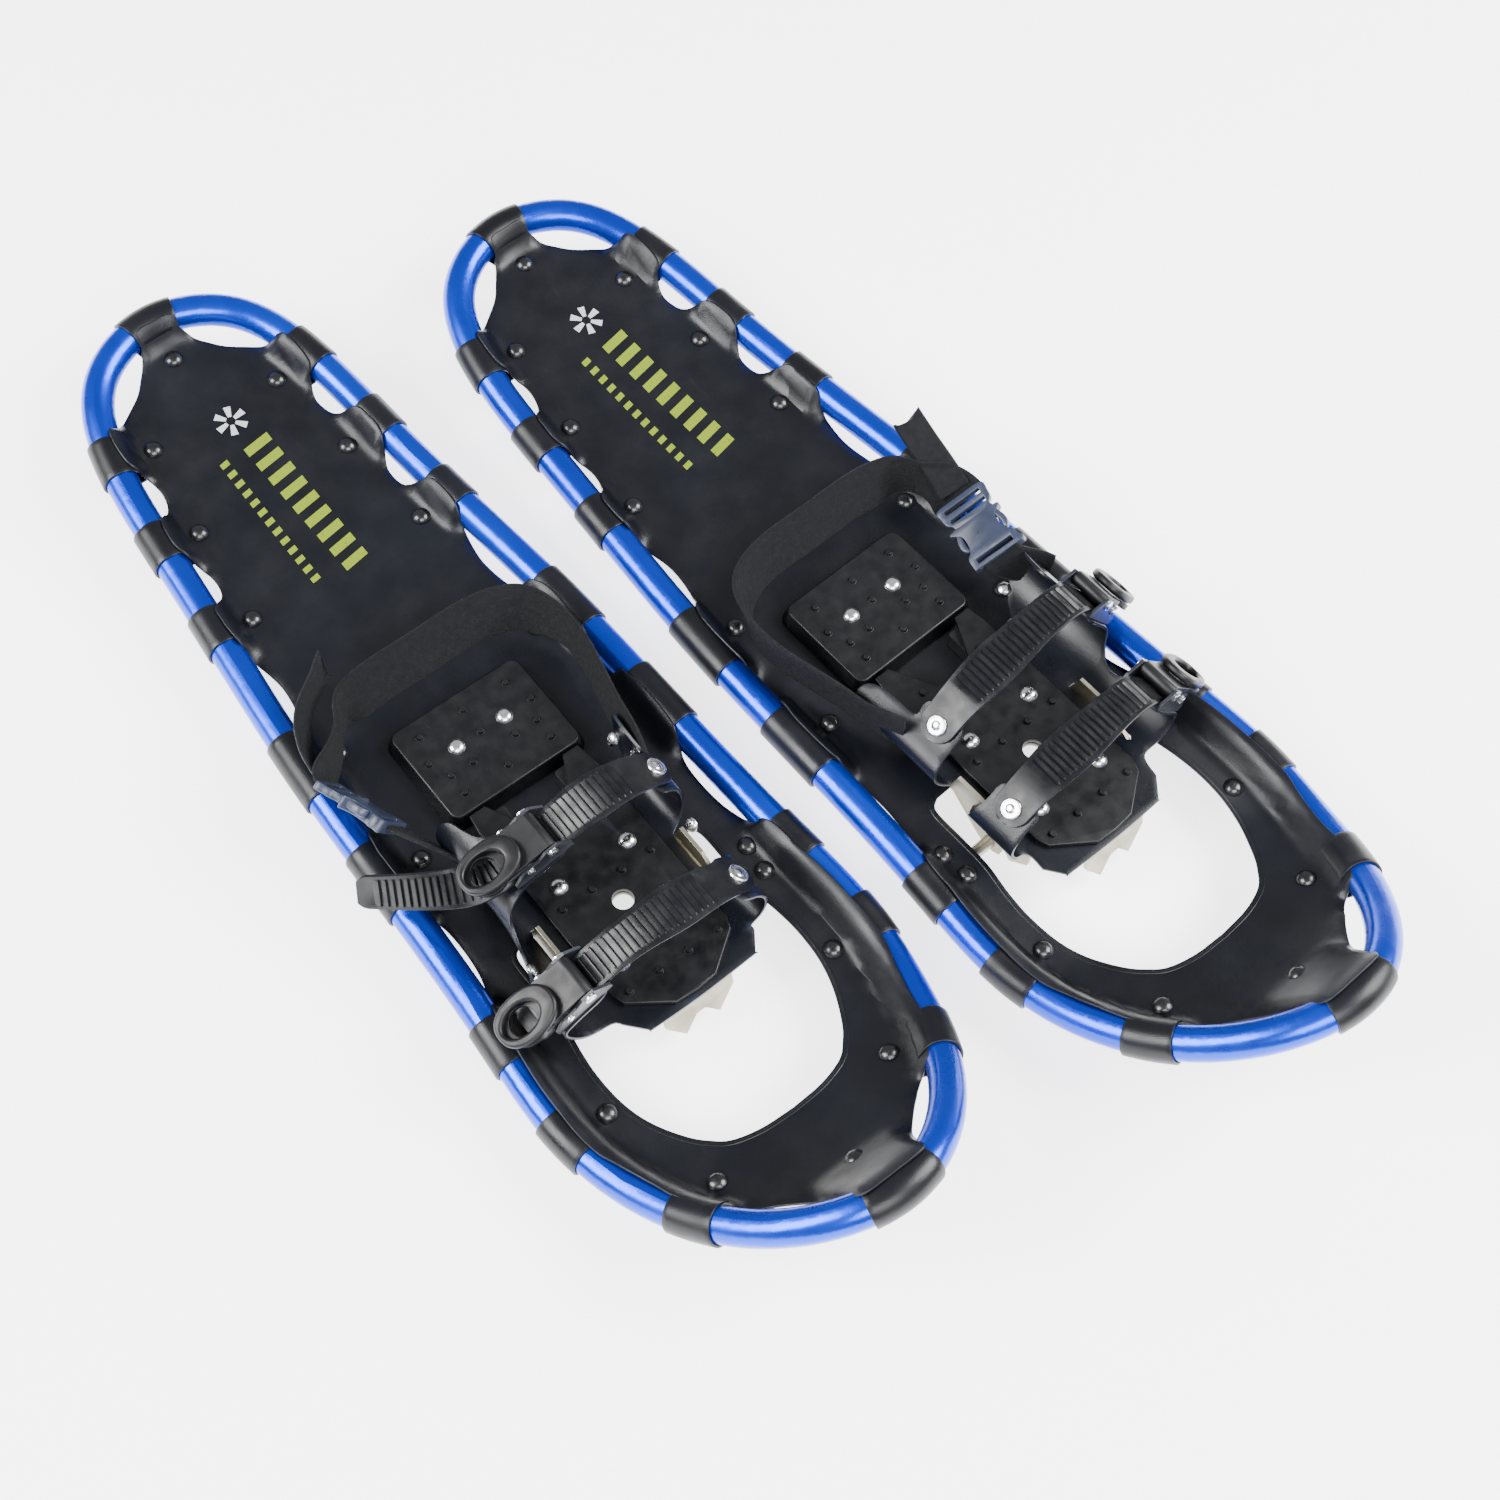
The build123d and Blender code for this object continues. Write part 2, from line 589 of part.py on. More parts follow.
def toe_crampon():
    """Folded steel plate under the ball of the foot: ears on the axle, teeth round three sides."""
    top = BASE_TOP - BASE_T - SHEET_T
    half = CRAMPON_HALF
    with BuildPart() as crampon:
        with BuildSketch(Plane.XY.offset(top - CRAMPON_T)):
            with BuildLine():
                Polyline((0, 464), (30, 464), (half, 478), (half, 550))
                ThreePointArc((half, 550), (38, 567), (24, TOE_FRONT))
                Polyline((24, TOE_FRONT), (0, TOE_FRONT), (0, 464))
            make_face()
            mirror(about=Plane.YZ)
            with Locations((0, (EAR_Y[0] + EAR_Y[1]) / 2)):
                Rectangle(2 * EAR_HALF + 2 * CRAMPON_T, EAR_Y[1] - EAR_Y[0])
        extrude(amount=CRAMPON_T)
        flange = toothed_flange(Plane.YZ.offset(half - CRAMPON_T), 500, 549, top, 2)
        extrude(flange, amount=CRAMPON_T)
        with BuildSketch(Plane.YZ.offset(EAR_HALF)):
            with BuildLine():
                Polyline((EAR_Y[0], top), (EAR_Y[0] + 4, EAR_TOP), (EAR_Y[0] + 24, EAR_TOP),
                         (EAR_Y[1], top), (AXLE_Y + 9, AXLE_Z - 5), (AXLE_Y + 4, AXLE_Z - 8),
                         (AXLE_Y - 4, AXLE_Z - 8), (AXLE_Y - 9, AXLE_Z - 5), close=True)
            make_face()
        extrude(amount=CRAMPON_T)
        mirror(about=Plane.YZ)
        lean = atan2(TOE_TEETH_LEAN, top - TOE_TIP_Z)
        face = Plane(origin=(0, TOE_FRONT, top), x_dir=(1, 0, 0), z_dir=(0, cos(lean), sin(lean)))
        drop = (top - TOE_TIP_Z) / cos(lean)
        with BuildSketch(face):
            with BuildLine():
                Polyline((-24, 0), (-24, drop * 0.45), (-12, drop), (-3, drop * 0.6),
                         (3, drop * 0.6), (12, drop), (24, drop * 0.45), (24, 0), close=True)
            make_face()
        extrude(amount=-CRAMPON_T)
        with BuildSketch(Plane.XY.offset(top - CRAMPON_T)):
            with Locations((0, BASE_HOLE[0])):
                Circle(BASE_HOLE[1])
        extrude(amount=CRAMPON_T, mode=Mode.SUBTRACT)
        with BuildSketch(Plane.YZ.offset(-EAR_HALF - 5)):
            with Locations((AXLE_Y, AXLE_Z)):
                Circle(AXLE_R + AXLE_FIT)
        extrude(amount=2 * EAR_HALF + 10, mode=Mode.SUBTRACT)
        with Locations(*[(x, y, top) for x, y in base_screw_places()]):
            Cylinder(SCREW_SHANK_R + 0.1, 12, mode=Mode.SUBTRACT)
    return crampon.part


# ---------------------------------------------------------------- harness
def ratchet_plane(strap):
    """Ratchet's own plane: x towards the strap's tail, z away from the foot."""
    lean = radians(strap["lean"])
    x, z = strap["centre"]
    return Plane(origin=(x, strap["y"], z), x_dir=(cos(lean), 0, sin(lean)),
                 z_dir=(-sin(lean), 0, cos(lean)))


def ratchet_side(strap):
    """Plane across the ratchet: x along the strap, y away from the foot."""
    flat = ratchet_plane(strap)
    return Plane(origin=flat.origin, x_dir=flat.x_dir, z_dir=-flat.y_dir)


def ratchet_point(strap, along, above):
    """Point of the X-Z plane from ratchet coordinates."""
    lean = radians(strap["lean"])
    x, z = strap["centre"]
    return (x + along * cos(lean) - above * sin(lean), z + along * sin(lean) + above * cos(lean))


def start_angle(strap):
    """Direction in which a ladder strap leaves the inner wing."""
    (x, z), (top_x, top_z) = strap["start"], strap["top"]
    return atan2(top_z - z, top_x - x) + radians(16)


def start_point(strap, along, above):
    """Point of the X-Z plane from the coordinates of the strap's fixed end."""
    angle = start_angle(strap)
    x, z = strap["start"]
    return (x + along * cos(angle) - above * sin(angle), z + along * sin(angle) + above * cos(angle))


def start_plane(strap):
    angle = start_angle(strap)
    x, z = strap["start"]
    return Plane(origin=(x, strap["y"], z), x_dir=(cos(angle), 0, sin(angle)),
                 z_dir=(-sin(angle), 0, cos(angle)))


def wing(strap, inner, back, front):
    """One strap's stretch of a harness wing, constant along the shoe."""
    sole = BASE_TOP - BASE_T - SHEET_T / 2
    below = -RATCHET_FLOOR - SHEET_T / 2
    with BuildPart() as piece:
        with BuildSketch(Plane.XZ.offset(-front)):
            with BuildLine():
                if inner:
                    end = start_point(strap, -4.0, -LADDER_T / 2 - LADDER_GAP - SHEET_T / 2)
                    away = (cos(start_angle(strap)), sin(start_angle(strap)))
                    edge = Line((-BASE_HALF, sole), (-WING_ROOT, sole))
                    Spline(edge @ 1, (-WING_ROOT - 12, sole + 12), end,
                           tangents=[(-1, 0), away])
                    Line(end, (end[0] + 12 * away[0], end[1] + 12 * away[1]))
                else:
                    end = ratchet_point(strap, 15.0, below)
                    last = ratchet_point(strap, -RATCHET_REACH, below)
                    edge = Line((BASE_HALF, sole), (WING_ROOT, sole))
                    Spline(edge @ 1, strap["turn"], end,
                           tangents=[(1, 0), (last[0] - end[0], last[1] - end[1])])
                    Line(end, last)
            trace(line_width=SHEET_T)
        extrude(amount=front - back)
    return piece.part


def wing_outline(strap, other, inner):
    """Side view of a wing: a rounded tab for each strap and, outside, a tongue to the back."""
    back_tab = (strap["y"] - 15.5, strap["y"] + 15.5)
    front_tab = (other["y"] - 15.5, other["y"] + 15.5)
    if inner:
        tail = [(444, 2), (424, 12), (412, 24), (416, 34), (432, 38)]
    else:
        tail = [(440, 2), (420, 12), (412, 22), (414, 33), (428, 36)]
    points = tail + [(back_tab[0], 46), (back_tab[0], 90), (back_tab[1], 90), (back_tab[1], 44),
                     (back_tab[1] + 8, 24), (front_tab[0] - 8, 24), (front_tab[0], 40),
                     (front_tab[0], 90), (front_tab[1], 90), (front_tab[1], 30),
                     (front_tab[1] + 6, 18), (front_tab[1] + 8, 2)]
    with BuildSketch(Plane.YZ) as outline:
        with BuildLine():
            Polyline(*points, close=True)
        make_face()
    return outline.sketch


def harness(shoe):
    """Moulded sheet under the foot with a wing up each side."""
    bottom = BASE_TOP - BASE_T - SHEET_T
    instep = shoe["instep"]
    toe = shoe["toe"]
    between = (instep["y"] + toe["y"]) / 2
    wings = []
    for inner in (False, True):
        rear = wing(instep, inner, 396.0, between)
        fore = wing(toe, inner, between, 580.0)
        wings.append((rear + fore) & extrude(wing_outline(instep, toe, inner), 130, both=True))
    with BuildPart() as sheet:
        with BuildSketch(Plane.XY.offset(bottom)):
            with BuildLine():
                Polyline((0, 448), (BASE_HALF + 4, 448), (BASE_HALF + 4, 562), (43, 573), (33, 578),
                         (0, 578))
                Line((0, 578), (0, 448))
            make_face()
            mirror(about=Plane.YZ)
            with Locations((0, BASE_HOLE[0])):
                Circle(BASE_HOLE[1], mode=Mode.SUBTRACT)
        extrude(amount=SHEET_T)
        add(wings[0])
        add(wings[1])
        with Locations(*[(x, y, bottom) for x, y in base_screw_places()]):
            Cylinder(SCREW_SHANK_R + 0.1, 12, mode=Mode.SUBTRACT)
        with Locations(*[(side * (EAR_HALF + CRAMPON_T / 2), (EAR_Y[0] + EAR_Y[1]) / 2, EAR_TOP / 2)
                         for side in (-1, 1)]):
            Box(CRAMPON_T + 0.8, EAR_Y[1] - EAR_Y[0] + 1, EAR_TOP + 2, mode=Mode.SUBTRACT)
        for place in strap_rivet_places(shoe):
            with Locations(place.location):
                Cylinder(STRAP_RIVET_R + 0.05, 12, mode=Mode.SUBTRACT)
            with Locations(place.offset(-SHEET_T / 2).location):
                Cylinder(4.5, 6, align=(Align.CENTER, Align.CENTER, Align.MAX), mode=Mode.SUBTRACT)
    return sheet.part.solids().sort_by(SortBy.VOLUME)[-1]


def strap_rivet_places(shoe):
    """Planes of the harness's rivets, each on the sheet's middle and pointing outwards."""
    places = []
    for name in ("instep", "toe"):
        strap = shoe[name]
        flat = ratchet_plane(strap)
        for along in (-13.0, 14.0):
            places.append(Plane(origin=flat.from_local_coords((along, 0, -RATCHET_FLOOR - SHEET_T / 2)),
                                x_dir=flat.x_dir, z_dir=flat.z_dir))
        fixed = start_plane(strap)
        drop = -LADDER_T / 2 - LADDER_GAP - SHEET_T / 2
        places.append(Plane(origin=fixed.from_local_coords((0, 0, drop)), x_dir=fixed.x_dir,
                            z_dir=fixed.z_dir))
    return places


def strap_rivets(shoe):
    """Bright rivets: two under each ratchet and one through the fixed end of each strap."""
    with BuildPart() as rivets:
        for number, place in enumerate(strap_rivet_places(shoe)):
            through_strap = number % 3 == 2
            inside = -SHEET_T / 2
            outside = SHEET_T / 2 + (LADDER_GAP + LADDER_T if through_strap else RATCHET_FLOOR)
            with BuildSketch(place.offset(inside - 1.6)):
                Circle(4.2)
            with BuildSketch(place.offset(inside)):
                Circle(4.2)
            loft()
            with BuildSketch(place.offset(inside)):
                Circle(STRAP_RIVET_R)
            extrude(amount=outside - inside)
            if through_strap:
                with BuildSketch(place.offset(outside)):
                    Circle(5.2)
                extrude(amount=1.2)
    return rivets.part


# ---------------------------------------------------------------- ladder straps and ratchets
def ladder(strap, tail):
    """Ladder strap: fixed end, arch over the boot, run through its ratchet, and tail."""
    middle = LADDER_GAP + LADDER_T / 2
    first = start_point(strap, -10.0, 0)
    with BuildPart() as piece:
        with BuildSketch(Plane.XZ.offset(-strap["y"])):
            with BuildLine():
                entry = ratchet_point(strap, -RATCHET_REACH, middle)
                leave = ratchet_point(strap, RATCHET_REACH, middle)
                lift = start_point(strap, 8.0, 0)
                Line(first, lift)
                Spline(lift, strap["top"], entry,
                       tangents=[(lift[0] - first[0], lift[1] - first[1]),
                                 (leave[0] - entry[0], leave[1] - entry[1])])
                Line(entry, ratchet_point(strap, RATCHET_REACH + tail, middle))
            trace(line_width=LADDER_T)
        extrude(amount=LADDER_HALF, both=True)
        with Locations(start_plane(strap).location):
            Cylinder(STRAP_RIVET_R + 0.05, 12, mode=Mode.SUBTRACT)
    return piece.part


def twisted_tail(strap):
    """Long tail of a ladder strap that turns on edge as it runs back past the ankle."""
    x, z = ratchet_point(strap, RATCHET_REACH + 2.0, LADDER_GAP + LADDER_T / 2)
    y = strap["y"]
    flat = ratchet_plane(strap)
    sections = [Plane(origin=(x, y, z), x_dir=(0, 1, 0), z_dir=flat.x_dir),
                Plane(origin=(x + 22, y - 7, z - 4), x_dir=(-0.25, 0.8, -0.54), z_dir=(0.86, -0.4, -0.2)),
                Plane(origin=(x + 62, y - 38, z - 10), x_dir=(-0.3, 0.32, -0.9), z_dir=(0.8, -0.6, 0))]
    with BuildPart() as tail:
        for section in sections:
            with BuildSketch(section):
                Rectangle(2 * LADDER_HALF, LADDER_T)
        loft()
    return tail.part


def ratchet_base(strap):
    """Channel that the ladder strap runs through, with walls that hold the two pins."""
    side = ratchet_side(strap)
    reach = RATCHET_REACH
    inner = RATCHET_HALF - RATCHET_WALL
    with BuildPart() as base:
        with BuildSketch(side):
            with BuildLine():
                Polyline((-reach, -RATCHET_FLOOR), (reach, -RATCHET_FLOOR), (reach, 0), (-reach, 0),
                         close=True)
            make_face()
        extrude(amount=RATCHET_HALF, both=True)
        for facing in (-1, 1):
            with BuildSketch(side.offset(facing * inner)):
                with BuildLine():
                    Polyline((-reach, -RATCHET_FLOOR), (-reach, 2), (-15.5, 8.5), (-12.5, 12.8),
                             (-4, 12.8), (1.5, 9.9), (12, 9.9), (17, 4.5), (reach, 2),
                             (reach, -RATCHET_FLOOR), close=True)
                make_face()
            extrude(amount=facing * RATCHET_WALL)
        with BuildSketch(side.offset(-RATCHET_HALF - 1)):
            with Locations(LEVER_PIN):
                Circle(LEVER_PIN_R)
            with Locations(PAWL_PIN):
                Circle(PAWL_PIN_R)
        extrude(amount=2 * RATCHET_HALF + 2, mode=Mode.SUBTRACT)
        for along in (-13.0, 14.0):
            with BuildSketch(ratchet_plane(strap)):
                with Locations((along, 0)):
                    Circle(STRAP_RIVET_R + 0.05)
            extrude(amount=-RATCHET_FLOOR, mode=Mode.SUBTRACT)
    return base.part


def ratchet_lever(strap):
    """Drive lever: hub on its pin, flat arm and finger ring."""
    side = ratchet_side(strap)
    half = RATCHET_HALF - RATCHET_WALL - 0.4
    pin_x, pin_z = LEVER_PIN
    under = LEVER_UNDER
    over = LEVER_UNDER + LEVER_T
    with BuildPart() as lever:
        with BuildSketch(side):
            with Locations(LEVER_PIN):
                Circle(LEVER_HUB_R)
            with BuildLine():
                Polyline((pin_x, pin_z), (pin_x + 4, under), (RING_AT - 12, under),
                         (RING_AT - 12, over), (pin_x, over + 0.2), close=True)
            make_face()
        extrude(amount=half, both=True)
        with BuildSketch(ratchet_plane(strap).offset(under)):
            with Locations((RING_AT, 0)):
                Circle(RING_R)
        extrude(amount=LEVER_T)
        with BuildSketch(ratchet_plane(strap).offset(under)):
            with Locations((RING_AT, 0)):
                Circle(RING_HOLE_R)
        extrude(amount=LEVER_T, mode=Mode.SUBTRACT)
        with BuildSketch(side.offset(-RATCHET_HALF)):
            with Locations(LEVER_PIN):
                Circle(LEVER_PIN_R + PIN_FIT)
        extrude(amount=2 * RATCHET_HALF, mode=Mode.SUBTRACT)
    return lever.part


def ratchet_pawl(strap):
    """Sprung pawl with its thumb tab, slotted in the middle for the spring."""
    side = ratchet_side(strap)
    half = RATCHET_HALF - RATCHET_WALL - 0.4
    with BuildPart() as pawl:
        with BuildSketch(side):
            with BuildLine():
                Polyline((1.5, 4.4), (4.5, 8.8), (7, 9.8), (12, 9.5), (22, 9.5), (22, 7.6),
                         (13, 6.6), (10, 4.4), (7, 4.2), (5, 5.0), close=True)
            make_face()
        extrude(amount=half, both=True)
        with BuildSketch(side):
            with Locations(PAWL_PIN):
                Circle(3.4)
        extrude(amount=2.6, both=True, mode=Mode.SUBTRACT)
        with BuildSketch(side.offset(-RATCHET_HALF)):
            with Locations(PAWL_PIN):
                Circle(PAWL_PIN_R + PIN_FIT)
        extrude(amount=2 * RATCHET_HALF, mode=Mode.SUBTRACT)
    return pawl.part


def ratchet_pins(shoe):
    """Bright pins of both ratchets, with a head outside each wall."""
    with BuildPart() as pins:
        for name in ("instep", "toe"):
            side = ratchet_side(shoe[name])
            for place, radius, head in ((LEVER_PIN, LEVER_PIN_R, 3.4), (PAWL_PIN, PAWL_PIN_R, 2.4)):
                with BuildSketch(side.offset(-RATCHET_HALF)):
                    with Locations(place):
                        Circle(radius)
                extrude(amount=2 * RATCHET_HALF)
                for facing in (-1, 1):
                    with BuildSketch(side.offset(facing * RATCHET_HALF)):
                        with Locations(place):
                            Circle(head)
                    extrude(amount=facing * 1.0)
    return pins.part


def ratchet_springs(shoe):
    """Torsion springs that hold the pawls down."""
    wire = 0.35
    coil = Helix(pitch=0.9, height=3.6, radius=2.3)
    with BuildPart() as spring:
        with BuildSketch(Plane(coil @ 0, z_dir=coil % 0)):
            Circle(wire)
        sweep(path=coil)
    with BuildPart() as springs:
        for name in ("instep", "toe"):
            side = ratchet_side(shoe[name])
            place = Plane(origin=side.from_local_coords((PAWL_PIN[0], PAWL_PIN[1], -1.8)),
                          x_dir=side.x_dir, z_dir=side.z_dir)
            with Locations(place.location):
                add(spring.part)
    return springs.part


# ---------------------------------------------------------------- heel strap and buckle
def heel_strap():
    """Webbing from the inner wing round the heel, short of the buckle's plug."""
    low, high = STRAP_Z
    with BuildPart() as strap:
        with BuildSketch(Plane.XY.offset(low)):
            with BuildLine():
                Spline((-66.5, 428.0), (-68.0, 404.0), (-STRAP_BOW, 356.0), (-STRAP_HALF, 312.0),
                       (0, STRAP_BACK_Y - 4), (STRAP_HALF - 4, 309.0), (76.0, 322.0),
                       tangents=[(0, -1), (0.7, 0.7)])
            trace(line_width=WEB_T)
        extrude(amount=high - low)
    return strap.part


def buckle_plane(shoe):
    """Buckle's own plane: y towards the back along its travel, z off its face."""
    buckle = shoe["buckle"]
    yaw = radians(buckle["yaw"])
    roll = radians(buckle["roll"])
    back = Vector(-sin(yaw), -cos(yaw), 0)
    across = Vector(cos(yaw) * cos(roll), -sin(yaw) * cos(roll), sin(roll))
    return Plane(origin=buckle["centre"], x_dir=across, z_dir=across.cross(back))


def buckle_socket(shoe):
    """Socket with side windows and a bar for the tab."""
    flat = buckle_plane(shoe)
    with BuildPart() as socket:
        with BuildSketch(flat.offset(-BUCKLE_T / 2)):
            with Locations((0, -10)):
                RectangleRounded(2 * BUCKLE_HALF, 30, 4)
        extrude(amount=BUCKLE_T)
        fillet(socket.edges().filter_by(GeomType.LINE).group_by(SortBy.LENGTH)[-1], 1.5)
        with BuildSketch(flat.offset(-PLUG_T / 2 - BUCKLE_FIT)):
            with Locations((0, -5)):
                Rectangle(2 * BUCKLE_HALF - 6, 22)
        extrude(amount=PLUG_T + 2 * BUCKLE_FIT, mode=Mode.SUBTRACT)
        with BuildSketch(flat.offset(-PLUG_T / 2)):
            with Locations((-BUCKLE_HALF, -6), (BUCKLE_HALF, -6)):
                RectangleRounded(9, 11, 2)
        extrude(amount=PLUG_T, mode=Mode.SUBTRACT)
        with BuildSketch(flat.offset(-BUCKLE_T / 2)):
            with Locations((0, -20.5)):
                Rectangle(26, 3.4)
        extrude(amount=BUCKLE_T, mode=Mode.SUBTRACT)
    return socket.part


def buckle_plug(shoe):
    """Plug: ladder-lock frame with two spring prongs and a guide tongue."""
    flat = buckle_plane(shoe)
    with BuildPart() as plug:
        with BuildSketch(flat.offset(-PLUG_T / 2)):
            with Locations((0, 14.5)):
                RectangleRounded(2 * BUCKLE_HALF, 18, 3)
            with Locations((0, 0)):
                Rectangle(6, 22)
            with Locations((-11, -1), (11, -1)):
                Rectangle(4, 20)
            with Locations((-11.5, -9), (11.5, -9)):
                RectangleRounded(4.6, 6, 1.5)
            with Locations((0, 12.5), (0, 19)):
                Rectangle(26, 3.2, mode=Mode.SUBTRACT)
        extrude(amount=PLUG_T)
    return plug.part


def buckle_tab(shoe):
    """Short webbing from the outer wing to the socket's bar."""
    flat = buckle_plane(shoe)
    bar = flat.from_local_coords((0, -25.6, 0))
    root = Vector(*shoe["buckle"]["root"])
    away = (bar - root).normalized()
    with BuildPart() as tab:
        with BuildSketch(Plane(origin=root, x_dir=(0.45, 0, 0.89), z_dir=away)):
            Rectangle(24, WEB_T)
        with BuildSketch(Plane(origin=bar, x_dir=flat.x_dir, z_dir=flat.y_dir)):
            Rectangle(24, WEB_T)
        loft()
    return tab.part


# ---------------------------------------------------------------- one shoe, then the pair
def shoe_pieces(shoe):
    """All pieces of one shoe, in the frame of the right shoe."""
    instep = shoe["instep"]
    toe = shoe["toe"]
    instep_ladder = ladder(instep, 3.0 if shoe["long_tail"] else 14.0)
    if shoe["long_tail"]:
        instep_ladder = instep_ladder + twisted_tail(instep)
    return {
        "frame_tube": frame_tube(),
        "frame_sleeve": frame_sleeve(),
        "deck": deck(),
        "deck_bands": deck_bands(),
        "deck_rivets": deck_rivets(),
        "pivot_axle": pivot_axle(),
        "axle_brackets": axle_brackets(),
        "heel_pad": heel_pad(),
        "heel_crampon": heel_crampon(),
        "heel_screws": heel_screws(),
        "base_plate": base_plate(),
        "toe_crampon": toe_crampon(),
        "base_screws": base_screws(),
        "harness": harness(shoe),
        "strap_rivets": strap_rivets(shoe),
        "instep_ladder": instep_ladder,
        "instep_base": ratchet_base(instep),
        "instep_lever": ratchet_lever(instep),
        "instep_pawl": ratchet_pawl(instep),
        "toe_ladder": ladder(toe, 12.0),
        "toe_base": ratchet_base(toe),
        "toe_lever": ratchet_lever(toe),
        "toe_pawl": ratchet_pawl(toe),
        "ratchet_pins": ratchet_pins(shoe),
        "ratchet_springs": ratchet_springs(shoe),
        "heel_strap": heel_strap(),
        "buckle_socket": buckle_socket(shoe),
        "buckle_plug": buckle_plug(shoe),
        "buckle_tab": buckle_tab(shoe),
    }


def placed(piece, shoe):
    """Put a piece of the right shoe's frame where its own shoe lies."""
    if shoe["mirrored"]:
        piece = mirror(piece, about=Plane.YZ)
    return Location((shoe["at"][0], shoe["at"][1], 0), (0, 0, shoe["turn"])) * piece


pair = {}
for shoe_name, shoe in SHOES.items():
    for piece_name, piece in shoe_pieces(shoe).items():
        pair[f"{shoe_name}_{piece_name}"] = placed(piece, shoe)

# The pair stands on the floor, centred on its own bounding box.
boxes = [piece.bounding_box() for piece in pair.values()]
low_x, high_x = min(box.min.X for box in boxes), max(box.max.X for box in boxes)
low_y, high_y = min(box.min.Y for box in boxes), max(box.max.Y for box in boxes)
low_z = min(box.min.Z for box in boxes)
SHIFT = Vector(-(low_x + high_x) / 2, -(low_y + high_y) / 2, -low_z)

os.makedirs("parts", exist_ok=True)
for name, piece in pair.items():
    piece = piece.moved(Location(SHIFT))
    piece.label = name
    export_step(piece, f"parts/{name}.step")
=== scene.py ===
"""Looks of the pair of snowshoes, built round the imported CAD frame.

Every shape is drawn in millimetres in the frame of the right shoe (+X outwards, +Y to the toe,
+Z up, origin on the tube's centreline at the tail) and then put in the row frame, mirrored,
turned and moved for the left shoe.
"""
from math import acos, atan2, cos, hypot, pi, radians, sin

import bpy
import numpy as np
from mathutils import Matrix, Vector
from mathutils.geometry import delaunay_2d_cdt


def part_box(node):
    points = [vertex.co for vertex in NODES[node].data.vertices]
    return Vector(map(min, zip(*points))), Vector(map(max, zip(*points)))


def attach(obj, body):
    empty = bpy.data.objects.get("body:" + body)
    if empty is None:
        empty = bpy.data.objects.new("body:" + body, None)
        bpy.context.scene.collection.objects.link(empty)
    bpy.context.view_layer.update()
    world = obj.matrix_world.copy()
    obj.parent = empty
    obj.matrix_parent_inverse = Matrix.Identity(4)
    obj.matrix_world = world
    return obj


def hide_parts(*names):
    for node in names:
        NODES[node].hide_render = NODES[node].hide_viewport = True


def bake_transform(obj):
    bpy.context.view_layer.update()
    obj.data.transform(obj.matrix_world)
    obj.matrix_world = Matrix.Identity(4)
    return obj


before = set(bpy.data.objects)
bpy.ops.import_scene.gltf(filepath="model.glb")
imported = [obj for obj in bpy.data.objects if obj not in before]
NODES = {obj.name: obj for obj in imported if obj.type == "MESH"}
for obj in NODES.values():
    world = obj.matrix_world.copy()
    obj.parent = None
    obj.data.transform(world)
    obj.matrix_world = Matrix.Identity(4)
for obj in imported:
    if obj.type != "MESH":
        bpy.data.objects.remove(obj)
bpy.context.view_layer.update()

# ---------------------------------------------------------------- named dimensions (mm)
TUBE_R = 10.5
FRAME_LENGTH = 743.0
NOSE_RISE, NOSE_BEND_Y = 70.0, 600.0
TAIL_RISE, TAIL_BEND_Y = 21.0, 220.0
FRAME_STATIONS = [(20.0, 49.0), (71.4, 72.3), (138.7, 80.3), (208.7, 86.3), (319.6, 96.1),
                  (408.0, 99.3), (530.1, 104.8), (597.7, 106.8), (640.0, 98.9), (681.0, 83.5),
                  (715.0, 59.6)]
BANDS = [(71.4, 28.0), (138.7, 28.0), (208.7, 28.0), (319.6, 46.0), (408.0, 46.0),
         (530.1, 30.0), (597.7, 30.0), (681.0, 30.0)]
TAIL_BAND, NOSE_BAND = 34.0, 40.0
DECK_DROP, DECK_T = 3.0, 1.6
BASE_HOLE_Y, BASE_HOLE_R = 504.5, 6.5
SHEET_MID, SHEET_T, WING_ROOT = 8.0, 2.0, 50.0
LADDER_T, LADDER_HALF, LADDER_GAP = 2.2, 12.0, 0.5
FLOOR_T, RATCHET_HALF, REACH = 2.0, 14.5, 20.0
LEVER_PIN, PAWL_PIN = (-8.0, 9.3), (8.0, 7.0)
TOOTH_PITCH = 4.2
WEB_T, WEB_WIDTH, WEB_Z = 2.2, 34.0, 23.0   # heel strap, and the height of its middle

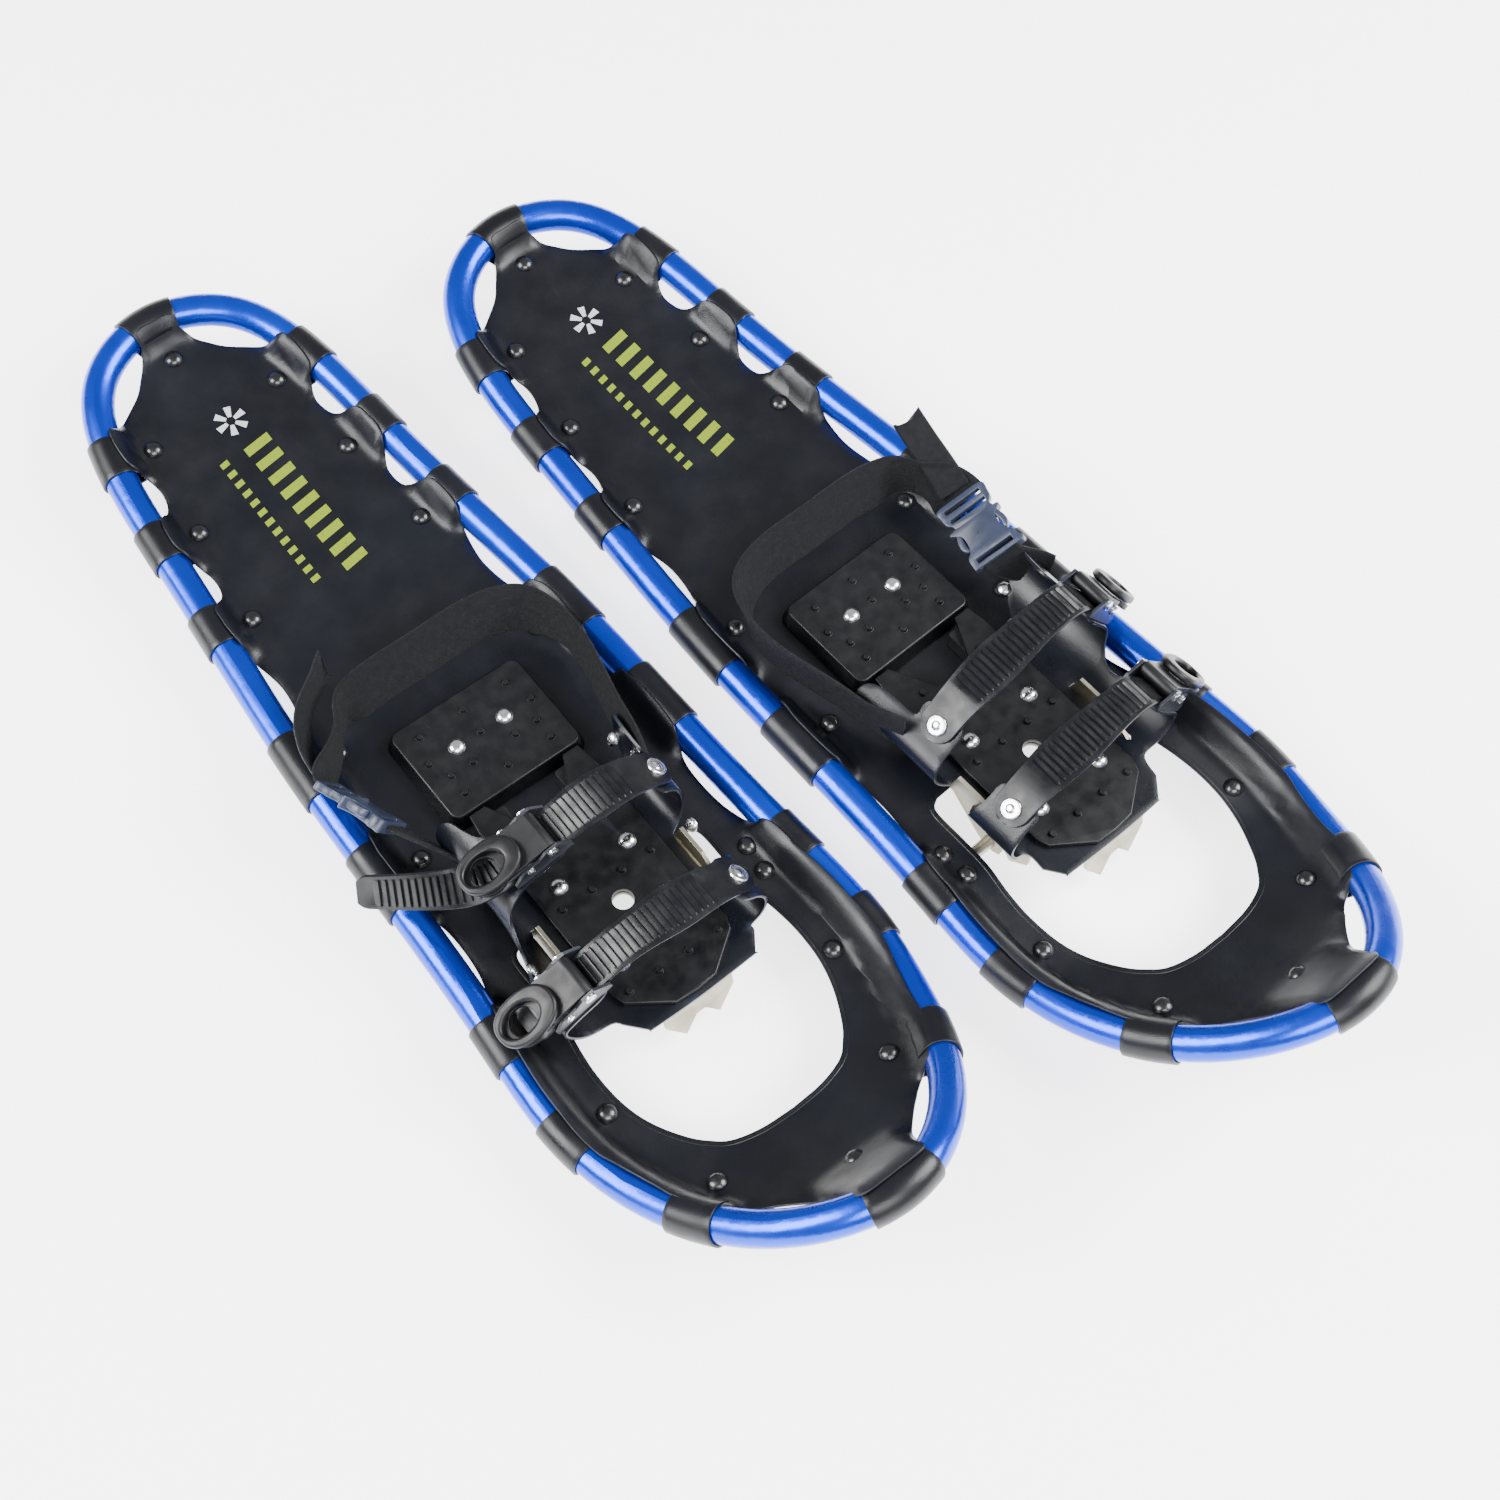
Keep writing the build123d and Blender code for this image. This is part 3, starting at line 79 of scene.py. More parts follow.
SHOES = {
    "right": dict(mirrored=False, turn=0.0, at=(0.0, 0.0),
                  instep=dict(y=461.0, start=(-56.0, 43.0), top=(-14.0, 60.0),
                              centre=(32.0, 50.0), lean=-14.0, turn=(64.0, 21.0)),
                  toe=dict(y=541.0, start=(-53.0, 38.0), top=(-6.0, 56.0),
                           centre=(64.0, 42.0), lean=-24.0, turn=(70.0, 15.0)),
                  long_tail=True,
                  buckle=dict(centre=(89.0, 372.0, 30.0), yaw=-18.0, roll=62.0,
                              root=(68.5, 420.0, 23.0)),
                  wing_rivets=[(-58.0, 418.0), (-60.5, 437.0), (-53.5, 449.5), (-60.0, 492.0),
                               (68.9, 511.0), (66.9, 529.4)],
                  heel_corner=[(44.0, 299.5), (60.0, 305.0), (70.0, 321.0)],
                  wing_tail=[(0.0, 444), (0.08, 434), (0.16, 422), (0.26, 414), (0.38, 412),
                             (0.46, 416), (0.50, 426), (0.56, 436)],
                  web_tail=[(96.0, 346.0, 31.0), (94.0, 326.0, 31.0), (80.0, 303.0, 34.0),
                            (56.0, 288.0, 39.0)],
                  web_tail_across=[(0.45, 0.145, 0.88), (0.35, 0.1, 0.93), (0.6, 0.2, 0.75),
                                   (0.9, 0.37, 0.2)]),
    "left": dict(mirrored=True, turn=3.26, at=(-224.2, 70.8),
                 instep=dict(y=464.0, start=(-44.0, 38.0), top=(10.0, 66.0),
                             centre=(76.0, 48.0), lean=-55.0, turn=(75.0, 16.0)),
                 toe=dict(y=531.0, start=(-49.0, 37.0), top=(8.0, 58.0),
                          centre=(68.0, 39.0), lean=-50.0, turn=(68.0, 13.0)),
                 long_tail=False,
                 buckle=dict(centre=(77.0, 376.0, 29.0), yaw=-13.0, roll=26.0,
                             root=(92.0, 417.0, 28.0)),
                 wing_rivets=[(66.5, 412.6), (53.5, 434.0), (79.0, 444.0), (81.5, 454.5),
                              (62.0, 514.5), (71.5, 516.5)],
                 heel_corner=[(46.0, 299.5), (64.0, 306.0), (76.0, 322.0)],
                 wing_tail=[(0.0, 444), (0.08, 430), (0.16, 420), (0.26, 412.5), (0.40, 409),
                            (0.56, 409.5), (0.68, 414), (0.75, 423), (0.79, 434)],
                 web_tail=[(82.0, 349.0, 32.0), (85.0, 330.0, 37.0), (88.0, 312.0, 40.0),
                           (92.0, 295.0, 41.0)],
                 web_tail_across=[(0.876, 0.202, 0.438), (0.95, -0.1, 0.25), (0.97, -0.15, 0.1),
                                  (0.97, -0.2, 0.05)]),
}

# ---------------------------------------------------------------- camera, light and floor
tube_low, tube_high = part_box("right_frame_tube")
ORIGIN = np.array([(tube_low.x + tube_high.x) / 2, tube_low.y + TUBE_R / 1000,
                   tube_low.z + TUBE_R / 1000])
CAMERA_AT = np.array([334.67, 962.30, 1259.69])
CAMERA_TURN = (28.0509, -2.2862, 141.5237)
camera_data = bpy.data.cameras.new("camera")
camera_data.sensor_width = 36.0
camera_data.lens = 57.276
camera_data.clip_end = 50.0
camera = bpy.data.objects.new("camera", camera_data)
camera.location = Vector(ORIGIN + CAMERA_AT / 1000)
camera.rotation_euler = [radians(a) for a in CAMERA_TURN]
scene = bpy.context.scene
scene.collection.objects.link(camera)
scene.camera = camera


def soft_light(name, at, towards, size, power):
    data = bpy.data.lights.new(name, "AREA")
    data.shape = "RECTANGLE"
    data.size, data.size_y = size
    data.energy = power
    lamp = bpy.data.objects.new(name, data)
    lamp.location = at
    lamp.rotation_euler = (Vector(towards) - Vector(at)).to_track_quat("-Z", "Y").to_euler()
    scene.collection.objects.link(lamp)


soft_light("key", (-1.9, 1.2, 2.1), (0, 0, 0), (1.8, 1.8), 215)
soft_light("fill", (2.1, -0.9, 1.9), (0, 0, 0), (1.6, 1.6), 180)
soft_light("front", (0.9, 2.0, 2.2), (0, 0, 0), (2.2, 1.4), 120)

world = bpy.data.worlds.new("studio")
world.use_nodes = True
world.node_tree.nodes["Background"].inputs["Color"].default_value = (0.97, 0.98, 1.0, 1)
world.node_tree.nodes["Background"].inputs["Strength"].default_value = 0.6
scene.world = world


# ---------------------------------------------------------------- materials
class Shader:
    """A Principled material with helpers for procedural variation."""

    def __init__(self, name, colour, roughness=0.5, metallic=0.0, coat=0.0, specular=0.5):
        self.material = bpy.data.materials.new(name)
        self.material.use_nodes = True
        self.nodes = self.material.node_tree.nodes
        self.links = self.material.node_tree.links
        self.shader = self.nodes["Principled BSDF"]
        self.shader.inputs["Base Color"].default_value = (*colour, 1)
        self.shader.inputs["Roughness"].default_value = roughness
        self.shader.inputs["Metallic"].default_value = metallic
        self.shader.inputs["Coat Weight"].default_value = coat
        self.shader.inputs["Coat Roughness"].default_value = 0.15
        self.shader.inputs["Specular IOR Level"].default_value = specular
        self.coords = self.nodes.new("ShaderNodeTexCoord")
        self.normal = None

    def add(self, kind, settings=(), **values):
        """New node with its attributes and its inputs' values set; a socket is linked instead."""
        node = self.nodes.new("ShaderNode" + kind)
        for key, value in dict(settings).items():
            setattr(node, key, value)
        for key, value in values.items():
            socket = node.inputs[int(key[1:]) if key[1:].isdigit() else key.replace("_", " ")]
            if isinstance(value, bpy.types.NodeSocket):
                self.links.new(value, socket)
            else:
                socket.default_value = value
        return node

    def noise(self, scale, detail=4.0, stretch=(1, 1, 1), distortion=0.0):
        where = self.add("Mapping", Scale=stretch, Vector=self.coords.outputs["Object"])
        return self.add("TexNoise", Scale=scale, Detail=detail, Distortion=distortion,
                        Vector=where.outputs[0]).outputs["Fac"]

    def cells(self, scale):
        return self.add("TexVoronoi", Scale=scale,
                        Vector=self.coords.outputs["Object"]).outputs["Distance"]

    def wave(self, scale, direction, bend=0.0):
        """Stripes across the UV map."""
        return self.add("TexWave", {"bands_direction": direction}, Scale=scale, Distortion=bend,
                        Vector=self.coords.outputs["UV"]).outputs["Fac"]

    def ramp(self, value, low, high):
        """value mapped so that low gives 0 and high gives 1."""
        return self.add("MapRange", Value=value, From_Min=low, From_Max=high).outputs["Result"]

    def times(self, a, b):
        return self.add("Math", {"operation": "MULTIPLY"}, _0=a, _1=b).outputs[0]

    def plus(self, a, b):
        return self.add("Math", {"operation": "ADD"}, _0=a, _1=b).outputs[0]

    def tint(self, mask, colour):
        """Mix another colour in where mask is 1."""
        base = self.shader.inputs["Base Color"]
        before = base.links[0].from_socket if base.links else tuple(base.default_value)
        mix = self.add("Mix", {"data_type": "RGBA"}, _0=mask, _6=before, _7=(*colour, 1))
        self.links.new(mix.outputs[2], base)

    def rough(self, value, low, high):
        """Roughness from low to high with a noise's value."""
        spread = self.add("MapRange", Value=value, From_Min=0.3, From_Max=0.7, To_Min=low,
                          To_Max=high)
        self.links.new(spread.outputs["Result"], self.shader.inputs["Roughness"])

    def bump(self, height, depth, strength=1.0):
        """Relief of so many metres, added to the relief before it."""
        below = {"Normal": self.normal} if self.normal else {}
        node = self.add("Bump", Distance=depth, Strength=strength, Height=height, **below)
        self.normal = node.outputs["Normal"]
        self.links.new(self.normal, self.shader.inputs["Normal"])

    def edges(self, low=0.52, high=0.60):
        """1 along worn outer edges."""
        return self.ramp(self.add("NewGeometry").outputs["Pointiness"], low, high)


def anodised_tube():
    s = Shader("blue_tube", (0.002, 0.035, 0.50), 0.22, 0.85, coat=0.25)
    s.tint(s.ramp(s.noise(9, 3), 0.35, 0.7), (0.003, 0.055, 0.62))
    s.tint(s.times(s.ramp(s.noise(420, 6, (1, 0.06, 1)), 0.72, 0.80), 0.2), (0.10, 0.24, 0.75))
    s.rough(s.noise(60, 5, (1, 0.3, 1)), 0.22, 0.33)
    s.bump(s.noise(1400, 3, (1, 0.05, 1)), 0.000012)
    return s.material


def alloy():
    s = Shader("alloy", (0.62, 0.63, 0.65), 0.3, 1.0)
    s.tint(s.ramp(s.noise(120, 4), 0.45, 0.75), (0.44, 0.45, 0.47))
    s.rough(s.noise(220, 4), 0.22, 0.42)
    s.bump(s.noise(700, 3), 0.00003)
    return s.material


def coated_sheet(name, colour, pale, grain, roughness):
    """Dark coated fabric: fine pebble grain, scuffs and dusty wear on its edges."""
    s = Shader(name, colour, 0.45, 0.0, specular=0.32)
    s.tint(s.times(s.ramp(s.noise(14, 5), 0.42, 0.75), 0.5), pale)
    s.tint(s.times(s.ramp(s.noise(300, 8, (1, 0.08, 1), distortion=0.6), 0.66, 0.74), 0.4), pale)
    s.tint(s.times(s.edges(0.53, 0.62), 0.4), tuple(4 * c for c in pale))
    s.rough(s.noise(45, 5), *roughness)
    s.bump(s.cells(grain), 0.00010, 0.55)
    s.bump(s.noise(26, 3), 0.0006, 0.5)
    return s.material


def rivet_black():
    s = Shader("black_rivet", (0.003, 0.003, 0.004), 0.25, 0.0, coat=0.3)
    s.tint(s.times(s.ramp(s.noise(500, 4), 0.58, 0.7), 0.4), (0.02, 0.021, 0.025))
    s.rough(s.noise(300, 4), 0.18, 0.4)
    s.bump(s.noise(900, 2), 0.00003)
    return s.material


def steel():
    s = Shader("steel", (0.26, 0.235, 0.165), 0.42, 0.9)
    s.tint(s.ramp(s.noise(60, 6), 0.45, 0.8), (0.18, 0.16, 0.11))
    s.tint(s.times(s.edges(), 0.6), (0.58, 0.56, 0.50))
    s.tint(s.times(s.ramp(s.noise(25, 8), 0.60, 0.68), 0.35), (0.16, 0.11, 0.07))
    s.rough(s.noise(180, 5, (1, 0.2, 1)), 0.26, 0.5)
    s.bump(s.noise(800, 4, (1, 0.15, 1)), 0.00005)
    return s.material


def bright():
    s = Shader("bright_screw", (0.78, 0.79, 0.80), 0.16, 1.0)
    s.tint(s.ramp(s.noise(400, 5), 0.55, 0.75), (0.55, 0.56, 0.58))
    s.rough(s.noise(500, 4), 0.12, 0.3)
    s.bump(s.noise(1500, 2), 0.00002)
    return s.material


def moulded(name, colour, worn, roughness):
    """Moulded plastic: spark-eroded grain, slight shade variation, paler worn edges."""
    s = Shader(name, colour, 0.45, 0.0, specular=0.38)
    s.tint(s.times(s.ramp(s.noise(60, 5), 0.45, 0.75), 0.5), tuple(1.7 * c for c in colour))
    s.tint(s.times(s.edges(0.53, 0.6), 0.5), worn)
    s.tint(s.times(s.ramp(s.noise(700, 6, (1, 0.1, 1), distortion=0.4), 0.70, 0.76), 0.5), worn)
    s.rough(s.noise(110, 5), *roughness)
    s.bump(s.noise(2600, 2), 0.00005, 0.8)
    s.bump(s.noise(70, 3), 0.00025, 0.5)
    return s.material


def webbing():
    """Woven strap: UV u runs across in mm, v along in mm."""
    s = Shader("webbing", (0.0016, 0.0018, 0.0028), 0.7, 0.0, specular=0.22)
    across = s.wave(0.50, "X")
    along = s.wave(1.1, "Y", 0.4)
    weave = s.plus(s.times(across, 0.75), s.times(along, 0.25))
    s.tint(s.times(weave, 0.5), (0.005, 0.006, 0.010))
    s.tint(s.times(s.ramp(s.noise(900, 5), 0.6, 0.7), 0.3), (0.014, 0.015, 0.020))
    s.rough(s.noise(200, 4), 0.5, 0.8)
    s.bump(weave, 0.00035, 0.9)
    s.bump(s.noise(2500, 3), 0.0001)
    s.shader.inputs["Sheen Weight"].default_value = 0.02
    s.shader.inputs["Sheen Roughness"].default_value = 0.4
    return s.material


def printed(name, colour):
    s = Shader(name, colour, 0.5)
    s.tint(s.times(s.ramp(s.noise(500, 6), 0.6, 0.72), 0.6), tuple(0.25 * c for c in colour))
    s.rough(s.noise(300, 4), 0.4, 0.6)
    s.bump(s.cells(1500), 0.00006)
    return s.material


# colour, paler shade, grain per metre and roughness of each coated sheet
SHEETS = {
    "deck_sheet": ((0.0022, 0.0026, 0.0042), (0.005, 0.0065, 0.011), 1500.0, (0.28, 0.44)),
    "band_strip": ((0.0022, 0.0025, 0.0038), (0.005, 0.006, 0.010), 1300.0, (0.26, 0.42)),
    "harness_sheet": ((0.0024, 0.0030, 0.0052), (0.006, 0.008, 0.014), 1700.0, (0.24, 0.38)),
}
# colour, worn shade and roughness of each moulding
MOULDINGS = {
    "moulded_black": ((0.0015, 0.0017, 0.0026), (0.010, 0.012, 0.017), (0.30, 0.48)),
    "strap_plastic": ((0.0016, 0.0019, 0.0030), (0.011, 0.013, 0.019), (0.25, 0.45)),
    "ratchet_grey": ((0.006, 0.007, 0.011), (0.05, 0.055, 0.07), (0.28, 0.45)),
    "ratchet_black": ((0.0015, 0.0015, 0.0022), (0.012, 0.013, 0.017), (0.34, 0.50)),
    "buckle_plastic": ((0.020, 0.026, 0.048), (0.08, 0.09, 0.13), (0.25, 0.42)),
}
MATERIALS = {
    "blue_tube": anodised_tube(), "alloy": alloy(), "black_rivet": rivet_black(),
    "steel": steel(), "bright_screw": bright(), "webbing": webbing(),
    **{name: coated_sheet(name, *values) for name, values in SHEETS.items()},
    **{name: moulded(name, *values) for name, values in MOULDINGS.items()},
}
PRINT_WHITE = printed("print_white", (0.40, 0.41, 0.44))
PRINT_LIME = printed("print_lime", (0.150, 0.205, 0.003))

# which CAD nodes of a shoe each slot is on
SLOT_NODES = {
    "blue_tube": ("frame_tube",),
    "alloy": ("frame_sleeve",),
    "deck_sheet": ("deck",),
    "band_strip": ("deck_bands",),
    "black_rivet": ("deck_rivets",),
    "steel": ("pivot_axle", "heel_crampon", "toe_crampon", "ratchet_springs"),
    "moulded_black": ("axle_brackets", "heel_pad", "base_plate"),
    "bright_screw": ("heel_screws", "base_screws", "strap_rivets", "ratchet_pins"),
    "harness_sheet": ("harness",),
    "strap_plastic": ("instep_ladder", "toe_ladder"),
    "ratchet_grey": ("instep_base", "toe_base", "instep_pawl", "toe_pawl"),
    "ratchet_black": ("instep_lever", "toe_lever"),
    "webbing": ("heel_strap", "buckle_tab"),
    "buckle_plastic": ("buckle_socket", "buckle_plug"),
}
NODE_SLOTS = {part: slot for slot, parts in SLOT_NODES.items() for part in parts}
for side in SHOES:
    for part, slot in NODE_SLOTS.items():
        materials = NODES[f"{side}_{part}"].data.materials
        if not len(materials):
            materials.append(MATERIALS[slot])
        for place in range(len(materials)):
            materials[place] = MATERIALS[slot]


# ---------------------------------------------------------------- helpers
def to_row(shoe, points):
    """Shoe millimetres to row-frame metres."""
    p = np.array(points, float).reshape(-1, 3)
    x = -p[:, 0] if shoe["mirrored"] else p[:, 0]
    turn = radians(shoe["turn"])
    out = np.empty_like(p)
    out[:, 0] = x * cos(turn) - p[:, 1] * sin(turn) + shoe["at"][0]
    out[:, 1] = x * sin(turn) + p[:, 1] * cos(turn) + shoe["at"][1]
    out[:, 2] = p[:, 2]
    return out / 1000 + ORIGIN


def piece(name, shoe, points, faces, slot, body, uvs=None, material=None, sharp=40.0):
    """Mesh object from shoe coordinates, riding on a body."""
    mesh = bpy.data.meshes.new(name)
    turned = [tuple(reversed(f)) for f in faces] if shoe["mirrored"] else [tuple(f) for f in faces]
    mesh.from_pydata([tuple(p) for p in to_row(shoe, points)], [], turned)
    if uvs is not None:
        layer = mesh.uv_layers.new(name="uv")
        for loop in mesh.loops:
            layer.data[loop.index].uv = uvs[loop.vertex_index]
    mesh.shade_smooth()
    mesh.set_sharp_from_angle(angle=radians(sharp))
    mesh.materials.append(material or MATERIALS[slot])
    obj = bpy.data.objects.new(name, mesh)
    scene.collection.objects.link(obj)
    if body:
        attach(obj, body)
    return obj


def thicken(obj, thickness, bevel=0.3, offset=-1.0):
    """Give a sheet its thickness in mm and round its edges."""
    solid = obj.modifiers.new("solid", "SOLIDIFY")
    solid.thickness = thickness / 1000
    solid.offset = offset
    solid.use_even_offset = True
    if bevel:
        round_edges(obj, bevel, 50)


def merge_flats(obj, degrees):
    """Join the faces that lie in one plane to within so many degrees."""
    flat = obj.modifiers.new("flat", "DECIMATE")
    flat.decimate_type = "DISSOLVE"
    flat.angle_limit = radians(degrees)


def round_edges(obj, width, angle=35.0, segments=2):
    bevel = obj.modifiers.new("rounded", "BEVEL")
    bevel.width = width / 1000
    bevel.segments = segments
    bevel.limit_method = "ANGLE"
    bevel.angle_limit = radians(angle)
    bevel.use_clamp_overlap = True


def lengths_along(points):
    """Length of a polyline up to each of its points."""
    return np.concatenate([[0], np.cumsum(np.linalg.norm(np.diff(points, axis=0), axis=1))])


def interpolate(at, known, values):
    """Rows of values, given at the places known, at other places."""
    return np.stack([np.interp(at, known, column) for column in np.transpose(values)], -1)


def spline(points, first, last, count):
    """Points along the smooth curve through points with unit end directions first and last."""
    p = np.array(points, float)
    t = lengths_along(p)
    n = len(p)
    h = np.diff(t)
    system = np.zeros((n, n))
    right = np.zeros_like(p)
    system[0, 0] = system[-1, -1] = 1
    right[0], right[-1] = np.array(first, float), np.array(last, float)
    for i in range(1, n - 1):
        system[i, i - 1], system[i, i], system[i, i + 1] = h[i], 2 * (h[i - 1] + h[i]), h[i - 1]
        right[i] = 3 * (h[i] * (p[i] - p[i - 1]) / h[i - 1] + h[i - 1] * (p[i + 1] - p[i]) / h[i])
    m = np.linalg.solve(system, right)
    where = np.linspace(0, t[-1], count)
    i = np.clip(np.searchsorted(t, where, side="right") - 1, 0, n - 2)
    u = ((where - t[i]) / h[i])[:, None]
    gap = h[i][:, None]
    return ((2 * u**3 - 3 * u**2 + 1) * p[i] + (u**3 - 2 * u**2 + u) * gap * m[i]
            + (3 * u**2 - 2 * u**3) * p[i + 1] + (u**3 - u**2) * gap * m[i + 1])


def unit(v):
    v = np.array(v, float)
    return v / np.linalg.norm(v, axis=-1, keepdims=True)


def resample(points, step):
    """Points at even steps along a polyline."""
    p = np.array(points, float)
    s = lengths_along(p)
    count = max(2, int(round(s[-1] / step)) + 1)
    return interpolate(np.linspace(0, s[-1], count), s, p)


def round_line(points, step):
    """Smooth line through points (Catmull-Rom), at about even steps."""
    p = np.array(points, float)
    q = np.vstack([2 * p[0] - p[1], p, 2 * p[-1] - p[-2]])
    out = []
    for i in range(1, len(q) - 2):
        for u in np.linspace(0, 1, 12, endpoint=False):
            out.append(0.5 * (2 * q[i] + (q[i + 1] - q[i - 1]) * u
                              + (2 * q[i - 1] - 5 * q[i] + 4 * q[i + 1] - q[i + 2]) * u**2
                              + (3 * q[i] - q[i - 1] - 3 * q[i + 1] + q[i + 2]) * u**3))
    out.append(p[-1])
    return resample(out, step)


def inside(points, polygon):
    """Which points lie in a closed polygon."""
    x, y = points[:, 0], points[:, 1]
    found = np.zeros(len(points), bool)
    px, py = polygon[:, 0], polygon[:, 1]
    for i in range(len(polygon)):
        j = i - 1
        crosses = (py[i] > y) != (py[j] > y)
        with np.errstate(divide="ignore", invalid="ignore"):
            at = (px[j] - px[i]) * (y - py[i]) / (py[j] - py[i]) + px[i]
        found ^= crosses & (x < at)
    return found


def within(points, loops):
    """Which points lie in the first loop and in none of the others."""
    keep = inside(points, loops[0])
    for hole in loops[1:]:
        keep &= ~inside(points, hole)
    return keep


def filled(outline, holes, step):
    """Points and triangles that fill an outline, less its holes, at about step apart."""
    loops = [np.array(outline)] + [np.array(h) for h in holes]
    rim = np.vstack(loops)
    low, high = rim.min(0), rim.max(0)
    xs = np.arange(low[0] + step / 2, high[0], step)
    ys = np.arange(low[1] + step / 2, high[1], step)
    grid = np.stack(np.meshgrid(xs, ys), -1).reshape(-1, 2)
    grid = grid[within(grid, loops)]
    near = np.full(len(grid), 1e9)
    for start in range(0, len(rim), 200):
        part = rim[start:start + 200]
        near = np.minimum(near, np.linalg.norm(grid[:, None] - part[None], axis=2).min(1))
    grid = grid[near > 0.55 * step]
    edges, base = [], 0
    for loop in loops:
        edges += [(base + i, base + (i + 1) % len(loop)) for i in range(len(loop))]
        base += len(loop)
    every = np.vstack([rim, grid])
    points, _, faces, _, _, _ = delaunay_2d_cdt([Vector(p) for p in every], edges, [], 0, 1e-5)
    points = np.array([tuple(p) for p in points])
    tri = np.array([f for f in faces if len(f) == 3])
    tri = tri[within(points[tri].mean(1), loops)]
    a, b, c = points[tri[:, 0]], points[tri[:, 1]], points[tri[:, 2]]
    area = (b[:, 0] - a[:, 0]) * (c[:, 1] - a[:, 1]) - (b[:, 1] - a[:, 1]) * (c[:, 0] - a[:, 0])
    tri = tri[np.abs(area) > 1e-6]
    area = area[np.abs(area) > 1e-6]
    tri[area < 0] = tri[area < 0][:, ::-1]
    used = np.unique(tri)
    number = -np.ones(len(points), int)
    number[used] = np.arange(len(used))
    return points[used], number[tri]


def ring_faces(rows, count):
    """Quads between rows of closed rings with count points each."""
    return [(r * count + k, r * count + (k + 1) % count, (r + 1) * count + (k + 1) % count,
             (r + 1) * count + k) for r in range(rows - 1) for k in range(count)]


def capped_faces(rows, count):
    """The same, closed with a face at each end."""
    return ring_faces(rows, count) + [tuple(range(count))[::-1],
                                      tuple((rows - 1) * count + k for k in range(count))]


def smoothstep(value, low, high):
    t = np.clip((value - low) / (high - low), 0, 1)
    return t * t * (3 - 2 * t)


# ---------------------------------------------------------------- frame tube and deck shape
def rise(y):
    y = np.asarray(y, float)
    tail = TAIL_RISE * (np.maximum(TAIL_BEND_Y - y, 0) / TAIL_BEND_Y) ** 2
    nose = NOSE_RISE * (np.maximum(y - NOSE_BEND_Y, 0) / (FRAME_LENGTH - NOSE_BEND_Y)) ** 2
    return tail + nose


TUBE = resample(spline([(0, 0, TAIL_RISE)] + [(x, y, float(rise(y))) for y, x in FRAME_STATIONS]
                       + [(0, FRAME_LENGTH, NOSE_RISE)], (1, 0, 0), (-1, 0, 0), 1500), 1.0)
TUBE_S = lengths_along(TUBE)
TUBE_LENGTH = TUBE_S[-1]


def tube_station(y):
    """Length along the half tube at which it passes y."""
    return float(np.interp(y, TUBE[:, 1], TUBE_S))


def tube_frame(s):
    """Centre, direction, inward and upward unit vectors of the tube at a length s."""
    if s < 0 or s > TUBE_LENGTH:
        mirror_s = -s if s < 0 else 2 * TUBE_LENGTH - s
        c, t, n, b = tube_frame(mirror_s)
        flip = np.array([-1, 1, 1])
        return c * flip, -t * flip, n * flip, b * flip
    c, before, after = (interpolate(at, TUBE_S, TUBE)
                        for at in (s, max(s - 2, 0), min(s + 2, TUBE_LENGTH)))
    t = unit(after - before)
    if s < 2:
        t = np.array([1.0, 0, 0])
    if s > TUBE_LENGTH - 2:
        t = np.array([-1.0, 0, 0])
    slope = float(rise(c[1] + 0.5) - rise(c[1] - 0.5))
    up = unit((0, -slope, 1))
    n = unit(np.cross(up, t))
    b = np.cross(t, n)
    if b[2] < 0:
        b = -b
    return c, t, n, b


BAND_STATIONS = [(tube_station(y), length) for y, length in BANDS]
OVER_R = 14.2                 # deck's top surface where it lies on a band
KNEE, CREST = 19.0, 11.0      # where the deck leaves its plane, and where it is on the band
CLIMB_POWER = 1.4
WRAP_FADE = (1.0, 17.0)       # past a band's end, from where to where the deck comes down again
NOSE_FROM, NOSE_WIDE = 700.0, 40.0
NOSE_CLIMB = [(704, 0), (708, 0.4), (712, 4.8), (718, 10.3), (724, 15.9), (730.7, 21.6),
              (735.9, 22)]    # y, and how far the deck is drawn up at the nose band
DROOP, BELLY = 1.6, 0.6       # sag of the free edges, and waviness of the middle


def deck_climb(near):
    """How far the deck is above its plane on its way up to a band, near from the tube's line."""
    t = np.clip((KNEE - near) / (KNEE - CREST), 0, 1)
    return (np.sqrt(OVER_R**2 - CREST**2) + DECK_DROP) * t**CLIMB_POWER


